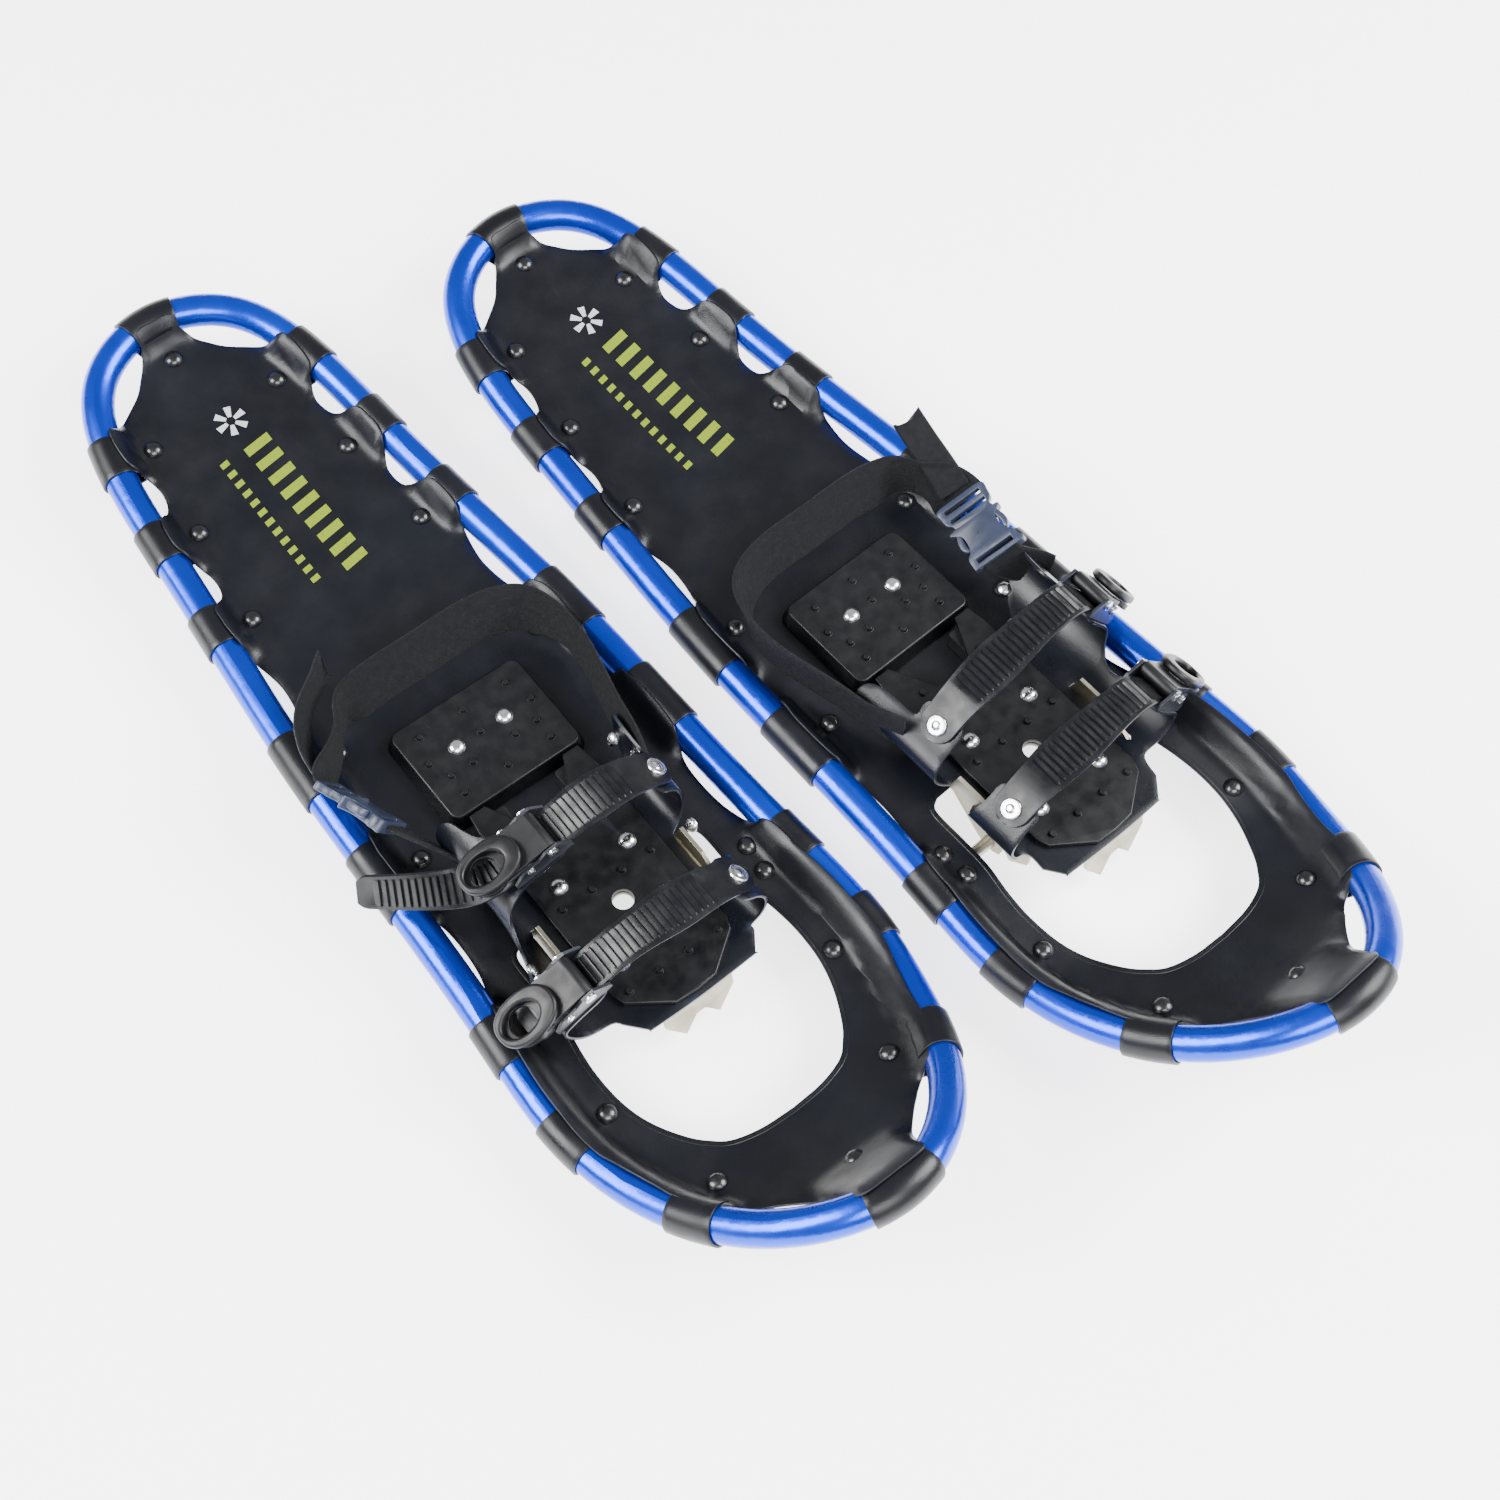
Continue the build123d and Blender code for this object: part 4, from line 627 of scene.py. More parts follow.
def deck_height(x, y):
    """Top surface of the deck, drawn up over the bands at the tube."""
    x, y = np.abs(np.asarray(x, float)), np.asarray(y, float)
    flat = np.stack([x, y], 1)
    near, at = np.full(len(x), 1e9), np.zeros(len(x))
    for start in range(0, len(TUBE), 150):
        part = TUBE[start:start + 150, :2]
        d = np.linalg.norm(flat[:, None] - part[None], axis=2)
        best = d.argmin(1)
        closer = d[np.arange(len(x)), best] < near
        near = np.where(closer, d[np.arange(len(x)), best], near)
        at = np.where(closer, TUBE_S[start + best], at)
    weight = np.zeros(len(x))
    for s, length in BAND_STATIONS + [(0.0, TAIL_BAND)]:
        fade = smoothstep(np.abs(at - s) - length / 2, *WRAP_FADE)
        weight = np.maximum(weight, 1 - fade)
    # the deck lies on the tube all the way between the three front bands
    between = smoothstep(at - BAND_STATIONS[5][0], 0, 14)
    between *= 1 - smoothstep(at - BAND_STATIONS[7][0], 0, 20)
    weight = np.maximum(weight, between)
    on_band = np.sqrt(np.maximum(OVER_R**2 - near**2, 0)) + DECK_DROP
    lift = np.where(near < CREST, on_band, deck_climb(near))
    at_nose = y > NOSE_FROM
    nose = np.interp(y, *np.transpose(NOSE_CLIMB)) * (1 - smoothstep(x, 20, 34))
    lifted = np.where(at_nose & (x < NOSE_WIDE), nose, lift * weight)
    droop = DROOP * (1 - weight) * np.clip((34 - near) / 20, 0, 1) ** 2
    belly = BELLY * np.sin(y / 61.0) * np.cos(x / 43.0) * (1 - np.clip(x / 90, 0, 1))
    return rise(y) - DECK_DROP + lifted - np.where(at_nose, 0, droop) + belly


DECK_EDGE = [(0, 7.5), (8, 7.5), (12.5, 9), (13.5, 14), (17, 18), (24, 26), (33, 36), (46, 44.5),
             (57, 51), (64, 58), (66, 66), (66.5, 76), (65.5, 84), (61, 91), (58.5, 101),
             (60.5, 112), (66, 122), (72, 129), (74, 139), (74.2, 149), (71, 158), (66.5, 169),
             (67, 182), (73, 194), (79, 200), (80.5, 209), (80.5, 221), (78.5, 235), (74.5, 262),
             (79, 289), (86.5, 299), (90, 310), (90.5, 330), (90, 346), (89.5, 364), (91.5, 384),
             (93.5, 398), (93.5, 418), (92, 434), (87.5, 456), (88.5, 484), (95, 507),
             (99, 520), (100.5, 536), (102.5, 550), (104, 566), (104.5, 584), (104.5, 600),
             (102.5, 616), (97, 631), (90.5, 650), (86.5, 664), (80.5, 674), (74, 683),
             (66, 691), (50, 702), (37, 713), (29, 722), (25.5, 729), (22, 734.5), (14, 736),
             (0, 736.2)]
OPENING_EDGE = [(0, 486), (54, 486), (62, 487.5), (66, 493), (66.4, 515), (67, 537), (70.5, 558),
                (72, 577), (70.5, 598), (65, 617), (55, 636), (47, 646), (38, 653.5), (21, 658.5),
                (0, 660)]
WELT = [(1.5, -0.15), (2.05, 0.35), (3.15, 0.35), (3.7, -0.15)]   # out from the edge, and up


def build_deck(side, shoe):
    half = round_line(DECK_EDGE, 2.4)
    outline = np.vstack([half, (half * (-1, 1))[1:-1][::-1]])
    rim = round_line(OPENING_EDGE, 2.6)
    opening = np.vstack([rim, (rim * (-1, 1))[1:-1][::-1]])
    flat, faces = filled(outline, [opening], 4.5)
    z = deck_height(flat[:, 0], flat[:, 1])
    points = np.column_stack([flat, z])
    deck = piece(f"{side}_deck_sheet", shoe, points, faces, "deck_sheet", f"{side}_shoe", sharp=80)
    thicken(deck, DECK_T, 0.45)
    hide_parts(f"{side}_deck")
    # a low welt follows the opening's edge
    ring = resample(np.vstack([opening, opening[:1]]), 3.0)[:-1]
    tangent = unit(np.roll(ring, -1, 0) - np.roll(ring, 1, 0))
    outward = np.stack([tangent[:, 1], -tangent[:, 0]], 1)
    if inside(ring[:1] + outward[:1] * 2, opening)[0]:
        outward = -outward
    rows = []
    for across, up in WELT:
        q = ring + outward * across
        rows.append(np.column_stack([q, deck_height(q[:, 0], q[:, 1]) + up]))
    piece(f"{side}_opening_welt", shoe, np.vstack(rows), ring_faces(len(WELT), len(ring)),
          "deck_sheet", f"{side}_shoe")


STRIP_END = 26.0              # how far in from the tube's line a band's two ends reach
STRIP_T, STRIP_TAPER, TAPER_FROM = 1.6, 0.10, 12.0


def band_profile():
    """Strip round the tube: from under the deck, round the outside, back to the same rivet."""
    r = TUBE_R + 1.0
    lower = (STRIP_END, -7.4)
    near = np.linspace(STRIP_END, CREST, 14)
    below = DECK_DROP + DECK_T + 1.1 + 0.6 * np.clip((KNEE - near) / (KNEE - CREST), 0, 1)
    under = list(zip(near, deck_climb(near) - below))
    upper = under[-1]

    def touch(point, sign):
        far = hypot(*point)
        return atan2(point[1], point[0]) + sign * acos(r / far)

    first, last = atan2(upper[1], upper[0]) + 0.35, touch(lower, -1) + 2 * pi
    arc = [(r * cos(a), r * sin(a)) for a in np.linspace(first, last, 40)]
    line = [*under, *arc, lower]
    return resample(line, 1.6)


def build_bands(side, shoe):
    profile = band_profile()
    points, faces, uvs = [], [], []
    strips = [(s, length, sign) for s, length in BAND_STATIONS for sign in (1, -1)]
    strips += [(0.0, TAIL_BAND, 1), (TUBE_LENGTH, NOSE_BAND, 1)]
    for s0, length, sign in strips:
        columns = np.linspace(-length / 2, length / 2, max(8, int(length / 3)))
        base = len(points)
        for u in columns:
            c, t, n, b = tube_frame(s0 + u)
            for a, h in profile:
                narrower = STRIP_TAPER * smoothstep(a, TAPER_FROM, STRIP_END - 1)
                points.append((c - t * u * narrower + n * a + b * h) * (sign, 1, 1))
                uvs.append((u, a))
        m = len(profile)
        for i in range(len(columns) - 1):
            for j in range(m - 1):
                a0 = base + i * m + j
                quad = (a0, a0 + 1, a0 + m + 1, a0 + m)
                faces.append(quad if sign > 0 else quad[::-1])
    bands = piece(f"{side}_band_strips", shoe, points, faces, "band_strip", f"{side}_shoe",
                  uvs=uvs, sharp=80)
    thicken(bands, STRIP_T, 0.4, offset=0.0)
    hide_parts(f"{side}_deck_bands")


# ---------------------------------------------------------------- straps
def ratchet_xz(strap, along, above):
    lean = radians(strap["lean"])
    x, z = strap["centre"]
    return np.array([x + along * cos(lean) - above * sin(lean),
                     z + along * sin(lean) + above * cos(lean)])


def start_angle(strap):
    (x, z), (top_x, top_z) = strap["start"], strap["top"]
    return atan2(top_z - z, top_x - x) + radians(16)


def start_xz(strap, along, above):
    angle = start_angle(strap)
    x, z = strap["start"]
    return np.array([x + along * cos(angle) - above * sin(angle),
                     z + along * sin(angle) + above * cos(angle)])


def lofted(points, across, outward, sections, along):
    """Closed solid with one cross-section of (a, h) per point; UV u is a, v is along."""
    verts = [p + side * a + out * h for p, side, out, section
             in zip(points, across, outward, sections) for a, h in section]
    uvs = [(a, v) for v, section in zip(along, sections) for a, _ in section]
    return verts, capped_faces(len(points), len(sections[0])), uvs


def ladder_path(strap, tail, long_tail):
    """Centreline and width directions of a ladder strap."""
    middle = LADDER_GAP + LADDER_T / 2
    first, lift = start_xz(strap, -10, 0), start_xz(strap, 8, 0)
    entry, leave = ratchet_xz(strap, -REACH, middle), ratchet_xz(strap, REACH, middle)
    arch = spline([lift, strap["top"], entry], unit(lift - first), unit(leave - entry), 60)
    end = ratchet_xz(strap, REACH + tail, middle)
    flat = np.vstack([[first], arch, [end]])
    points = np.column_stack([flat[:, 0], np.full(len(flat), strap["y"]), flat[:, 1]])
    across = np.tile([0.0, 1.0, 0.0], (len(points), 1))
    if long_tail:
        x, z = ratchet_xz(strap, REACH + 2, middle)
        y = strap["y"]
        lean = radians(strap["lean"])
        keys = [(x, y, z), (x + 22, y - 7, z - 4), (x + 68, y - 42, z - 10)]
        run = spline(keys, (cos(lean), 0, sin(lean)), unit((0.8, -0.6, 0)), 40)
        turns = np.array([(0, 1, 0), (-0.2, 0.85, -0.5), (-0.1, 0.55, -0.83)])
        dirs = interpolate(np.linspace(0, 1, 40), [0, 0.34, 1], turns)
        points = np.vstack([points[:-1], run])
        across = np.vstack([across[:-1], dirs])
    return points, across


TOOTH = [(0.0, 0.0), (0.16, 1.0), (0.34, 0.95), (0.98, 0.02)]   # share of the pitch, height
BULGE_AT, BULGE_LENGTH, BULGE = 58.0, 26.0, 2.6
SMOOTH_END, ROUND_END, TIP_END = 40.0, 11.0, 6.0
TOOTH_ROOT, TOOTH_HEIGHT, RAIL = 0.55, 1.5, 0.15


def ladder_sections(length):
    """Stations along a ladder strap and its cross-section at each."""
    stations = [0.0, 0.8, 2.0, 4.0, 7.0, *np.arange(10.0, SMOOTH_END, 3.0)]
    first_tooth = stations[-1] + 1.5
    teeth = {}
    for number in range(int((length - 7 - first_tooth - 1e-9) / TOOTH_PITCH)):
        for share, height in TOOTH:
            at = first_tooth + (number + share) * TOOTH_PITCH
            stations.append(at)
            teeth[round(at, 4)] = height
    stations += [length - rest for rest in (6.0, 3.5, 1.8, 0.6, 0.0)]
    t = LADDER_T / 2
    rail = t + RAIL
    sections = []
    for s in stations:
        half = LADDER_HALF + BULGE * np.exp(-((s - BULGE_AT) / BULGE_LENGTH) ** 2)
        if s < ROUND_END:
            half *= max(0.10, (1 - (1 - s / ROUND_END) ** 2) ** 0.5)
        elif length - s < TIP_END:
            half *= 1 - 0.35 * (1 - (length - s) / TIP_END) ** 2
        height = teeth.get(round(s, 4))
        crest = t + 0.1 if height is None else t - TOOTH_ROOT + TOOTH_HEIGHT * height
        upper = [(-1, -t * 0.4), (-1, t * 0.5), (-0.965, rail), (-0.80, rail), (-0.72, crest)]
        section = upper + [(0, crest)] + [(-a, h) for a, h in upper[::-1]]
        section += [(0.95, -t), (0, -t), (-0.95, -t)]
        sections.append([(a * half, h) for a, h in section])
    return np.array(stations), sections


def build_ladder(side, shoe, name):
    strap = shoe[name]
    long_tail = name == "instep" and shoe["long_tail"]
    tail = 3.0 if long_tail else (14.0 if name == "instep" else 12.0)
    points, across = ladder_path(strap, tail, long_tail)
    s = lengths_along(points)
    stations, sections = ladder_sections(s[-1])
    # the directions come from a fine line, so that close stations don't make them noisy
    fine = resample(points, 1.0)
    tangent = np.pad(unit(np.gradient(fine, axis=0)), ((2, 2), (0, 0)), mode="edge")
    tangent = np.stack([np.convolve(column, np.ones(5) / 5, "valid") for column in tangent.T], 1)
    t = unit(interpolate(stations, np.linspace(0, s[-1], len(fine)), tangent))
    dirs = interpolate(stations, s, across)
    a = unit(dirs - t * (dirs * t).sum(1)[:, None])
    outward = np.cross(t, a)
    if outward[3][2] < 0:
        outward = -outward
    verts, faces, uvs = lofted(interpolate(stations, s, points), a, outward, sections, stations)
    obj = piece(f"{side}_{name}_strap", shoe, verts, [f[::-1] for f in faces], "strap_plastic",
                f"{side}_binding", uvs=uvs, sharp=28)
    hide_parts(f"{side}_{name}_ladder")


def lathe(name, shoe, profile, origin, axis, slot, body, count=28):
    """Turned piece: profile of (radius, height) about an axis from origin."""
    axis = unit(axis)
    helper = np.array([0, 1.0, 0]) if abs(axis[1]) < 0.9 else np.array([1.0, 0, 0])
    u = unit(np.cross(helper, axis))
    v = np.cross(axis, u)
    turns = 2 * pi * np.arange(count) / count
    verts = [np.array(origin) + u * (r * cos(a)) + v * (r * sin(a)) + axis * h
             for r, h in profile for a in turns]
    piece(name, shoe, verts, capped_faces(len(profile), count), slot, body, sharp=50)


GROMMET = [(6.4, -1.2), (6.4, 0.2), (6.0, 0.6), (5.2, 0.75), (4.4, 0.5), (3.9, 0.1), (3.4, 0.1),
           (3.0, 0.7), (2.0, 1.1), (1.0, 1.2), (0.3, 1.2)]
DOME = [(4.6, -0.2), (4.6, 0.3), (4.3, 1.0), (3.4, 1.8), (2.0, 2.3), (0.4, 2.45)]
PIN_HEAD = [(1.0, -0.3), (1.0, 0.5), (0.9, 0.9), (0.6, 1.25), (0.2, 1.4)]   # share of r, height


def build_fittings(side, shoe):
    """Grommets of the straps and the domed heads of the ratchets' pins."""
    for name in ("instep", "toe"):
        strap = shoe[name]
        angle = start_angle(strap)
        x, z = start_xz(strap, 0, LADDER_T / 2 + 1.0)
        lathe(f"{side}_{name}_grommet", shoe, GROMMET,
              (x, strap["y"], z), (-sin(angle), 0, cos(angle)), "bright_screw", f"{side}_binding")
        for label, (along, above), r in (("lever", LEVER_PIN, 3.1), ("pawl", PAWL_PIN, 2.5)):
            for end in (-1, 1):
                px, pz = ratchet_xz(strap, along, above)
                lathe(f"{side}_{name}_{label}_pin_head_{'ab'[end > 0]}", shoe,
                      [(r * share, h) for share, h in PIN_HEAD],
                      (px, strap["y"] + end * RATCHET_HALF, pz), (0, end, 0), "bright_screw",
                      f"{side}_binding", 24)


# ---------------------------------------------------------------- harness
WING_STEPS = 60


def wing_profile(strap, inner):
    """Middle line of a wing from its root outwards, as x, z, and its length."""
    below = -FLOOR_T - SHEET_T / 2
    if inner:
        end = start_xz(strap, -4, -LADDER_T / 2 - LADDER_GAP - SHEET_T / 2)
        away = np.array([cos(start_angle(strap)), sin(start_angle(strap))])
        curve = spline([(-WING_ROOT, SHEET_MID), (-WING_ROOT - 12, SHEET_MID + 12), end],
                       (-1, 0), away, 40)
        line = np.vstack([curve, [end + 14 * away]])
    else:
        end, last = ratchet_xz(strap, 15, below), ratchet_xz(strap, -REACH, below)
        curve = spline([(WING_ROOT, SHEET_MID), strap["turn"], end], (1, 0), unit(last - end), 40)
        line = np.vstack([curve, [last]])
    s = lengths_along(line)
    return interpolate(np.linspace(0, s[-1], WING_STEPS), s, line), s[-1]


INNER_TAIL = [(0.0, 446), (0.10, 434), (0.22, 422), (0.34, 414), (0.50, 411.5), (0.62, 415),
              (0.68, 424), (0.70, 436)]
TAB_HALF = 15.5               # half width of a wing where a strap is fixed
TAB_CORNER = [(0.86, TAB_HALF), (0.94, TAB_HALF - 1.5), (0.985, TAB_HALF - 6), (1.0, 6)]


def wing_edge(shoe, inner):
    """Outline of a wing as (share of its length, y), from its rear root to its front root."""
    i, t = shoe["instep"]["y"], shoe["toe"]["y"]
    h, middle = TAB_HALF, (i + t) / 2

    def tab(y, rear, front):
        corners = [(share, y - off) for share, off in TAB_CORNER]
        corners += [(share, y + off) for share, off in TAB_CORNER[::-1]]
        return [(rear, y - h), *corners, (front, y + h)]

    if inner:
        dip = [(0.50, i + h + 1.5), (0.25, i + h + 5), (0.04, i + h + 9), (-0.03, i + h + 13),
               (-0.03, middle), (-0.03, t - h - 13), (0.04, t - h - 9), (0.25, t - h - 5),
               (0.50, t - h - 1.5)]
    else:
        dip = [(0.52, i + h + 2), (0.38, i + h + 8), (0.32, middle), (0.38, t - h - 8),
               (0.52, t - h - 2)]
    front = [(0.42, t + h + 1), (0.22, t + h + 2.5), (0.0, t + h + 3.5)]
    return ((INNER_TAIL if inner else shoe["wing_tail"]) + tab(i, 0.72, 0.70) + dip
            + tab(t, 0.70, 0.66) + front)


def build_harness(side, shoe):
    """Flexible sheet under the foot whose two wings carry the straps."""
    profiles = {inner: [wing_profile(shoe[n], inner) for n in ("instep", "toe")]
                for inner in (False, True)}
    lengths = {inner: (profiles[inner][0][1] + profiles[inner][1][1]) / 2 for inner in profiles}
    i_y, t_y = shoe["instep"]["y"], shoe["toe"]["y"]
    right = [(WING_ROOT + share * lengths[False], y) for share, y in wing_edge(shoe, False)]
    left = [(-WING_ROOT - share * lengths[True], y) for share, y in wing_edge(shoe, True)]
    front = [(45.5, 563.5), (44.8, 564.6), (35, 575.8), (34, 576.5), (0, 577), (-40, 575.5),
             (-41, 575), (-49, 564), (-49.5, 562.5)]
    back = [(-44, 449), (0, 449), (44, 449)]
    outline = round_line(np.array(right + front + left[::-1] + back + [right[0]]), 2.2)[:-1]
    angles = np.linspace(0, 2 * pi, 20, endpoint=False)
    hole = np.stack([BASE_HOLE_R * np.cos(angles), BASE_HOLE_Y + BASE_HOLE_R * np.sin(angles)], 1)
    ear_slot = resample([(49.2, 487), (54.0, 487), (54.0, 537), (49.2, 537), (49.2, 487)], 4)[:-1]
    flat, faces = filled(outline, [hole, ear_slot], 3.6)
    points = np.zeros((len(flat), 3))
    for k, (u, y) in enumerate(flat):
        if abs(u) <= WING_ROOT:
            points[k] = (u, y, SHEET_MID)
            continue
        inner = u < 0
        share = (abs(u) - WING_ROOT) / lengths[inner]
        mix = float(smoothstep(y, i_y + 8, t_y - 8))
        at = np.clip(share, 0, 1) * (WING_STEPS - 1)
        rear, fore = (interpolate(at, np.arange(WING_STEPS), line) for line, _ in profiles[inner])
        x, z = rear * (1 - mix) + fore * mix
        points[k] = (x, y, z)
    harness = piece(f"{side}_harness_sheet", shoe, points, faces, "harness_sheet",
                    f"{side}_binding", sharp=80)
    thicken(harness, SHEET_T, 0.5, offset=0.0)
    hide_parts(f"{side}_harness")
    for number, (u, y) in enumerate(shoe["wing_rivets"]):
        inner = u < 0
        mix = float(smoothstep(y, i_y + 8, t_y - 8))
        line = profiles[inner][0][0] * (1 - mix) + profiles[inner][1][0] * mix
        beyond = np.flatnonzero(np.abs(line[:, 0]) >= abs(u))
        at = min(max(beyond[0], 2), 50) if len(beyond) else 25
        along = unit(line[at + 1] - line[at - 1])
        normal = np.array([-along[1], 0, along[0]]) * (-1 if inner else 1)
        spot = np.array([line[at][0], y, line[at][1]])
        lathe(f"{side}_wing_rivet_{number}", shoe, DOME, spot + normal * SHEET_T / 2, normal,
              "bright_screw", f"{side}_binding")


# ---------------------------------------------------------------- webbing
RIBS, RIB_UP, RIB_DOWN, EDGE_SHARE = 9, 0.22, -0.05, 0.45


def ribbon(name, shoe, points, across, half, slot, body, uv_start=0.0, notch=0.0):
    """Woven strap along points: thin edges, lengthwise ribs, and a tip cut in so deep."""
    points = np.array(points)
    t = WEB_T / 2
    upper = []
    for j in range(RIBS * 2 + 1):
        at_edge = j in (0, RIBS * 2)
        height = t * EDGE_SHARE if at_edge else t + (RIB_UP if j % 2 else RIB_DOWN)
        upper.append((-half + half * j / RIBS, height))
    section = upper + [(a, -h) for a, h in upper[::-1]]
    tangent = unit(np.gradient(points, axis=0))
    across = unit(across - tangent * (across * tangent).sum(1)[:, None])
    verts, faces, uvs = lofted(points, across, np.cross(tangent, across),
                               [section] * len(points), lengths_along(points) + uv_start)
    if notch:
        ahead = unit(points[-1] - points[-2])
        for k, (a, _) in enumerate(section):
            verts[k - len(section)] += ahead * notch * (abs(a / half + 0.3) * 1.6 - 1.0)
    return piece(name, shoe, verts, [f[::-1] for f in faces], slot, body, uvs=uvs, sharp=60)


def buckle_axes(shoe):
    """Middle of the buckle, and its directions to the heel and across."""
    yaw, roll = radians(shoe["buckle"]["yaw"]), radians(shoe["buckle"]["roll"])
    back = np.array([-sin(yaw), -cos(yaw), 0])
    across = np.array([cos(yaw) * cos(roll), -sin(yaw) * cos(roll), sin(roll)])
    return np.array(shoe["buckle"]["centre"], float), back, across


PLUG_BAR, SOCKET_BAR = 19.5, 21.5      # from the buckle's middle to the bars the webbing is on
STRAP_START = [(-58, 451), (-64, 435), (-69, 410), (-79, 364), (-79, 334), (-70, 311), (-52, 301),
               (0, 298)]
STRAP_LEAVES, STRAP_ENDS = unit((-0.3, -0.95)), unit((0.5, 0.86, 0))
LEAN, HEEL_LEAN = 0.12, 0.34           # how far the strap's top leans outwards, more at the heel
TAIL_HALF, TAIL_NOTCH, TAB_WIDTH = 10.5, 5.0, 24.0
UP, TAB_UP = np.array([0, 0, 1.0]), np.array([0.45, 0, 0.89])
GROMMET_AT, GROMMET_AXIS = (-57.0, 443.0, 28.5), (0.93, -0.25, 0.25)


def build_webbing(side, shoe):
    """Strap round the heel, its link to the plug, its loose tail, and the socket's tab."""
    centre, back, across = buckle_axes(shoe)
    binding, plug = f"{side}_binding", f"{side}_buckle_plug"
    plan = spline(STRAP_START + shoe["heel_corner"], STRAP_LEAVES, STRAP_ENDS[:2], 200)
    line = np.column_stack([plan, np.full(len(plan), WEB_Z)])
    outward = np.cross(unit(np.gradient(line, axis=0)), UP)
    share = np.linspace(0, 1, len(line))
    lean = LEAN + HEEL_LEAN * (1 - smoothstep(line[:, 1], 305, 350))
    lean *= smoothstep(share, 0, 0.08) * (1 - smoothstep(share, 0.88, 1.0))
    line -= outward * (lean * WEB_WIDTH * 0.5)[:, None]
    line[:, 2] += 4.0 * (1 - smoothstep(share, 0, 0.1))
    strap = ribbon(f"{side}_heel_webbing", shoe, line, unit(UP + outward * lean[:, None]),
                   WEB_WIDTH / 2, "webbing", binding)
    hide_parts(f"{side}_heel_strap")
    lathe(f"{side}_heel_grommet", shoe, GROMMET, GROMMET_AT, GROMMET_AXIS, "bright_screw", binding)

    start, bar = line[-1], centre + back * PLUG_BAR
    run = spline([start, (start + bar) / 2 + (2.0, 0, 0), bar], STRAP_ENDS, -back, 26)
    share = smoothstep(np.linspace(0, 1, 26), 0, 1)[:, None]
    link = ribbon(f"{side}_heel_link", shoe, run, unit((1 - share) * UP + share * across),
                  WEB_WIDTH / 2, "webbing", None, lengths_along(line)[-1])
    ends = to_row(shoe, [start, bar - (bar - start) * 0.12])
    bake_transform(link)
    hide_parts(f"{side}_heel_strap")

    keys, dirs = np.array(shoe["web_tail"]), shoe["web_tail_across"]
    tail = spline(keys, unit(keys[1] - keys[0]), unit(keys[-1] - keys[-2]), 36)
    turn = interpolate(np.linspace(0, len(dirs) - 1, 36), np.arange(len(dirs)), dirs)
    ribbon(f"{side}_web_tail", shoe, tail, unit(turn), TAIL_HALF, "webbing", plug,
           notch=TAIL_NOTCH)

    root = np.array(shoe["buckle"]["root"]) + (-5, 4, -3)      # behind the wing
    bar = centre - back * SOCKET_BAR
    away = unit(bar - root)
    run = spline([root - away * 6, root, bar], away, back, 30)
    share = np.linspace(0, 1, 30)[:, None]
    tab = ribbon(f"{side}_buckle_web", shoe, run, unit((1 - share) * TAB_UP + share * across),
                 TAB_WIDTH / 2, "webbing", binding)
    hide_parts(f"{side}_buckle_tab")


# ---------------------------------------------------------------- side-release buckle
SOCKET_EDGE = [(-17, -25), (17, -25), (17.2, -20), (16.6, -16), (13.4, -13), (11.8, -7), (12.4, -1),
               (15.4, 1.5), (16.2, 5), (-16.2, 5), (-15.4, 1.5), (-12.4, -1), (-11.8, -7),
               (-13.4, -13), (-16.6, -16), (-17.2, -20)]
FRAME_EDGE = [(-13, 5.4), (13, 5.4), (13.6, 8.5), (16.6, 12), (17.2, 17), (16.4, 23.5), (0, 24.2),
              (-16.4, 23.5), (-17.2, 17), (-16.6, 12), (-13.6, 8.5)]
PRONG_EDGE = [(10.2, 5.8), (13.4, 5.8), (15.4, 1), (17.0, -4), (17.0, -8.5), (14.6, -12),
              (12.6, -11.6), (13.0, -7), (12.2, -1)]


SOCKET_SLOT = (-22.4, -18.8)                   # each slot from y to y, across the bars' width
FRAME_SLOTS = [(10.6, 13.6), (17.4, 20.6)]
SLOT_HALF = 13.0


def slot_hole(y0, y1):
    return np.array([(-SLOT_HALF, y0), (SLOT_HALF, y0), (SLOT_HALF, y1), (-SLOT_HALF, y1)])


def moulded_plate(outline, slots, height):
    """A moulding's upper face in the buckle's plane: points, faces."""
    loop = round_line(outline + outline[:1], 1.5)[:-1]
    flat, faces = filled(loop, [slot_hole(*slot) for slot in slots], 30.0)
    return np.column_stack([flat, np.full(len(flat), height)]), faces


def build_buckle(side, shoe):
    centre, back, across = buckle_axes(shoe)
    axes = np.array([across, back, np.cross(across, back)])

    def moulded_part(label, plates, body, thickness, bevel):
        points, faces = [], []
        for flat, triangles in plates:
            faces += [tuple(int(k) + len(points) for k in f) for f in triangles]
            points += list(centre + flat @ axes)
        obj = piece(f"{side}_{label}", shoe, points, faces, "buckle_plastic", body, sharp=60)
        merge_flats(obj, 2)
        thicken(obj, thickness, bevel)
        return obj

    socket = moulded_part("buckle_body", [moulded_plate(SOCKET_EDGE, [SOCKET_SLOT], 4.7)],
                          f"{side}_binding", 8.0, 1.2)
    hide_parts(f"{side}_buckle_socket")
    prong, triangles = moulded_plate(PRONG_EDGE, [], 2.4)
    plug = moulded_part("buckle_frame",
                        [moulded_plate(FRAME_EDGE, FRAME_SLOTS, 3.0), (prong, triangles),
                         (prong * (-1, 1, 1), triangles[:, ::-1])],
                        f"{side}_buckle_plug", 5.0, 0.7)
    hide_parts(f"{side}_buckle_plug")


RING_MIDDLE, RING_SIZE, RING_SQUARE = 24.0, (19.5, 14.2), 0.85
HOLE_MIDDLE, HOLE_SIZE = 27.0, (12.5, 8.2)
RING_ABOVE, RING_T = 15.0, 5.2


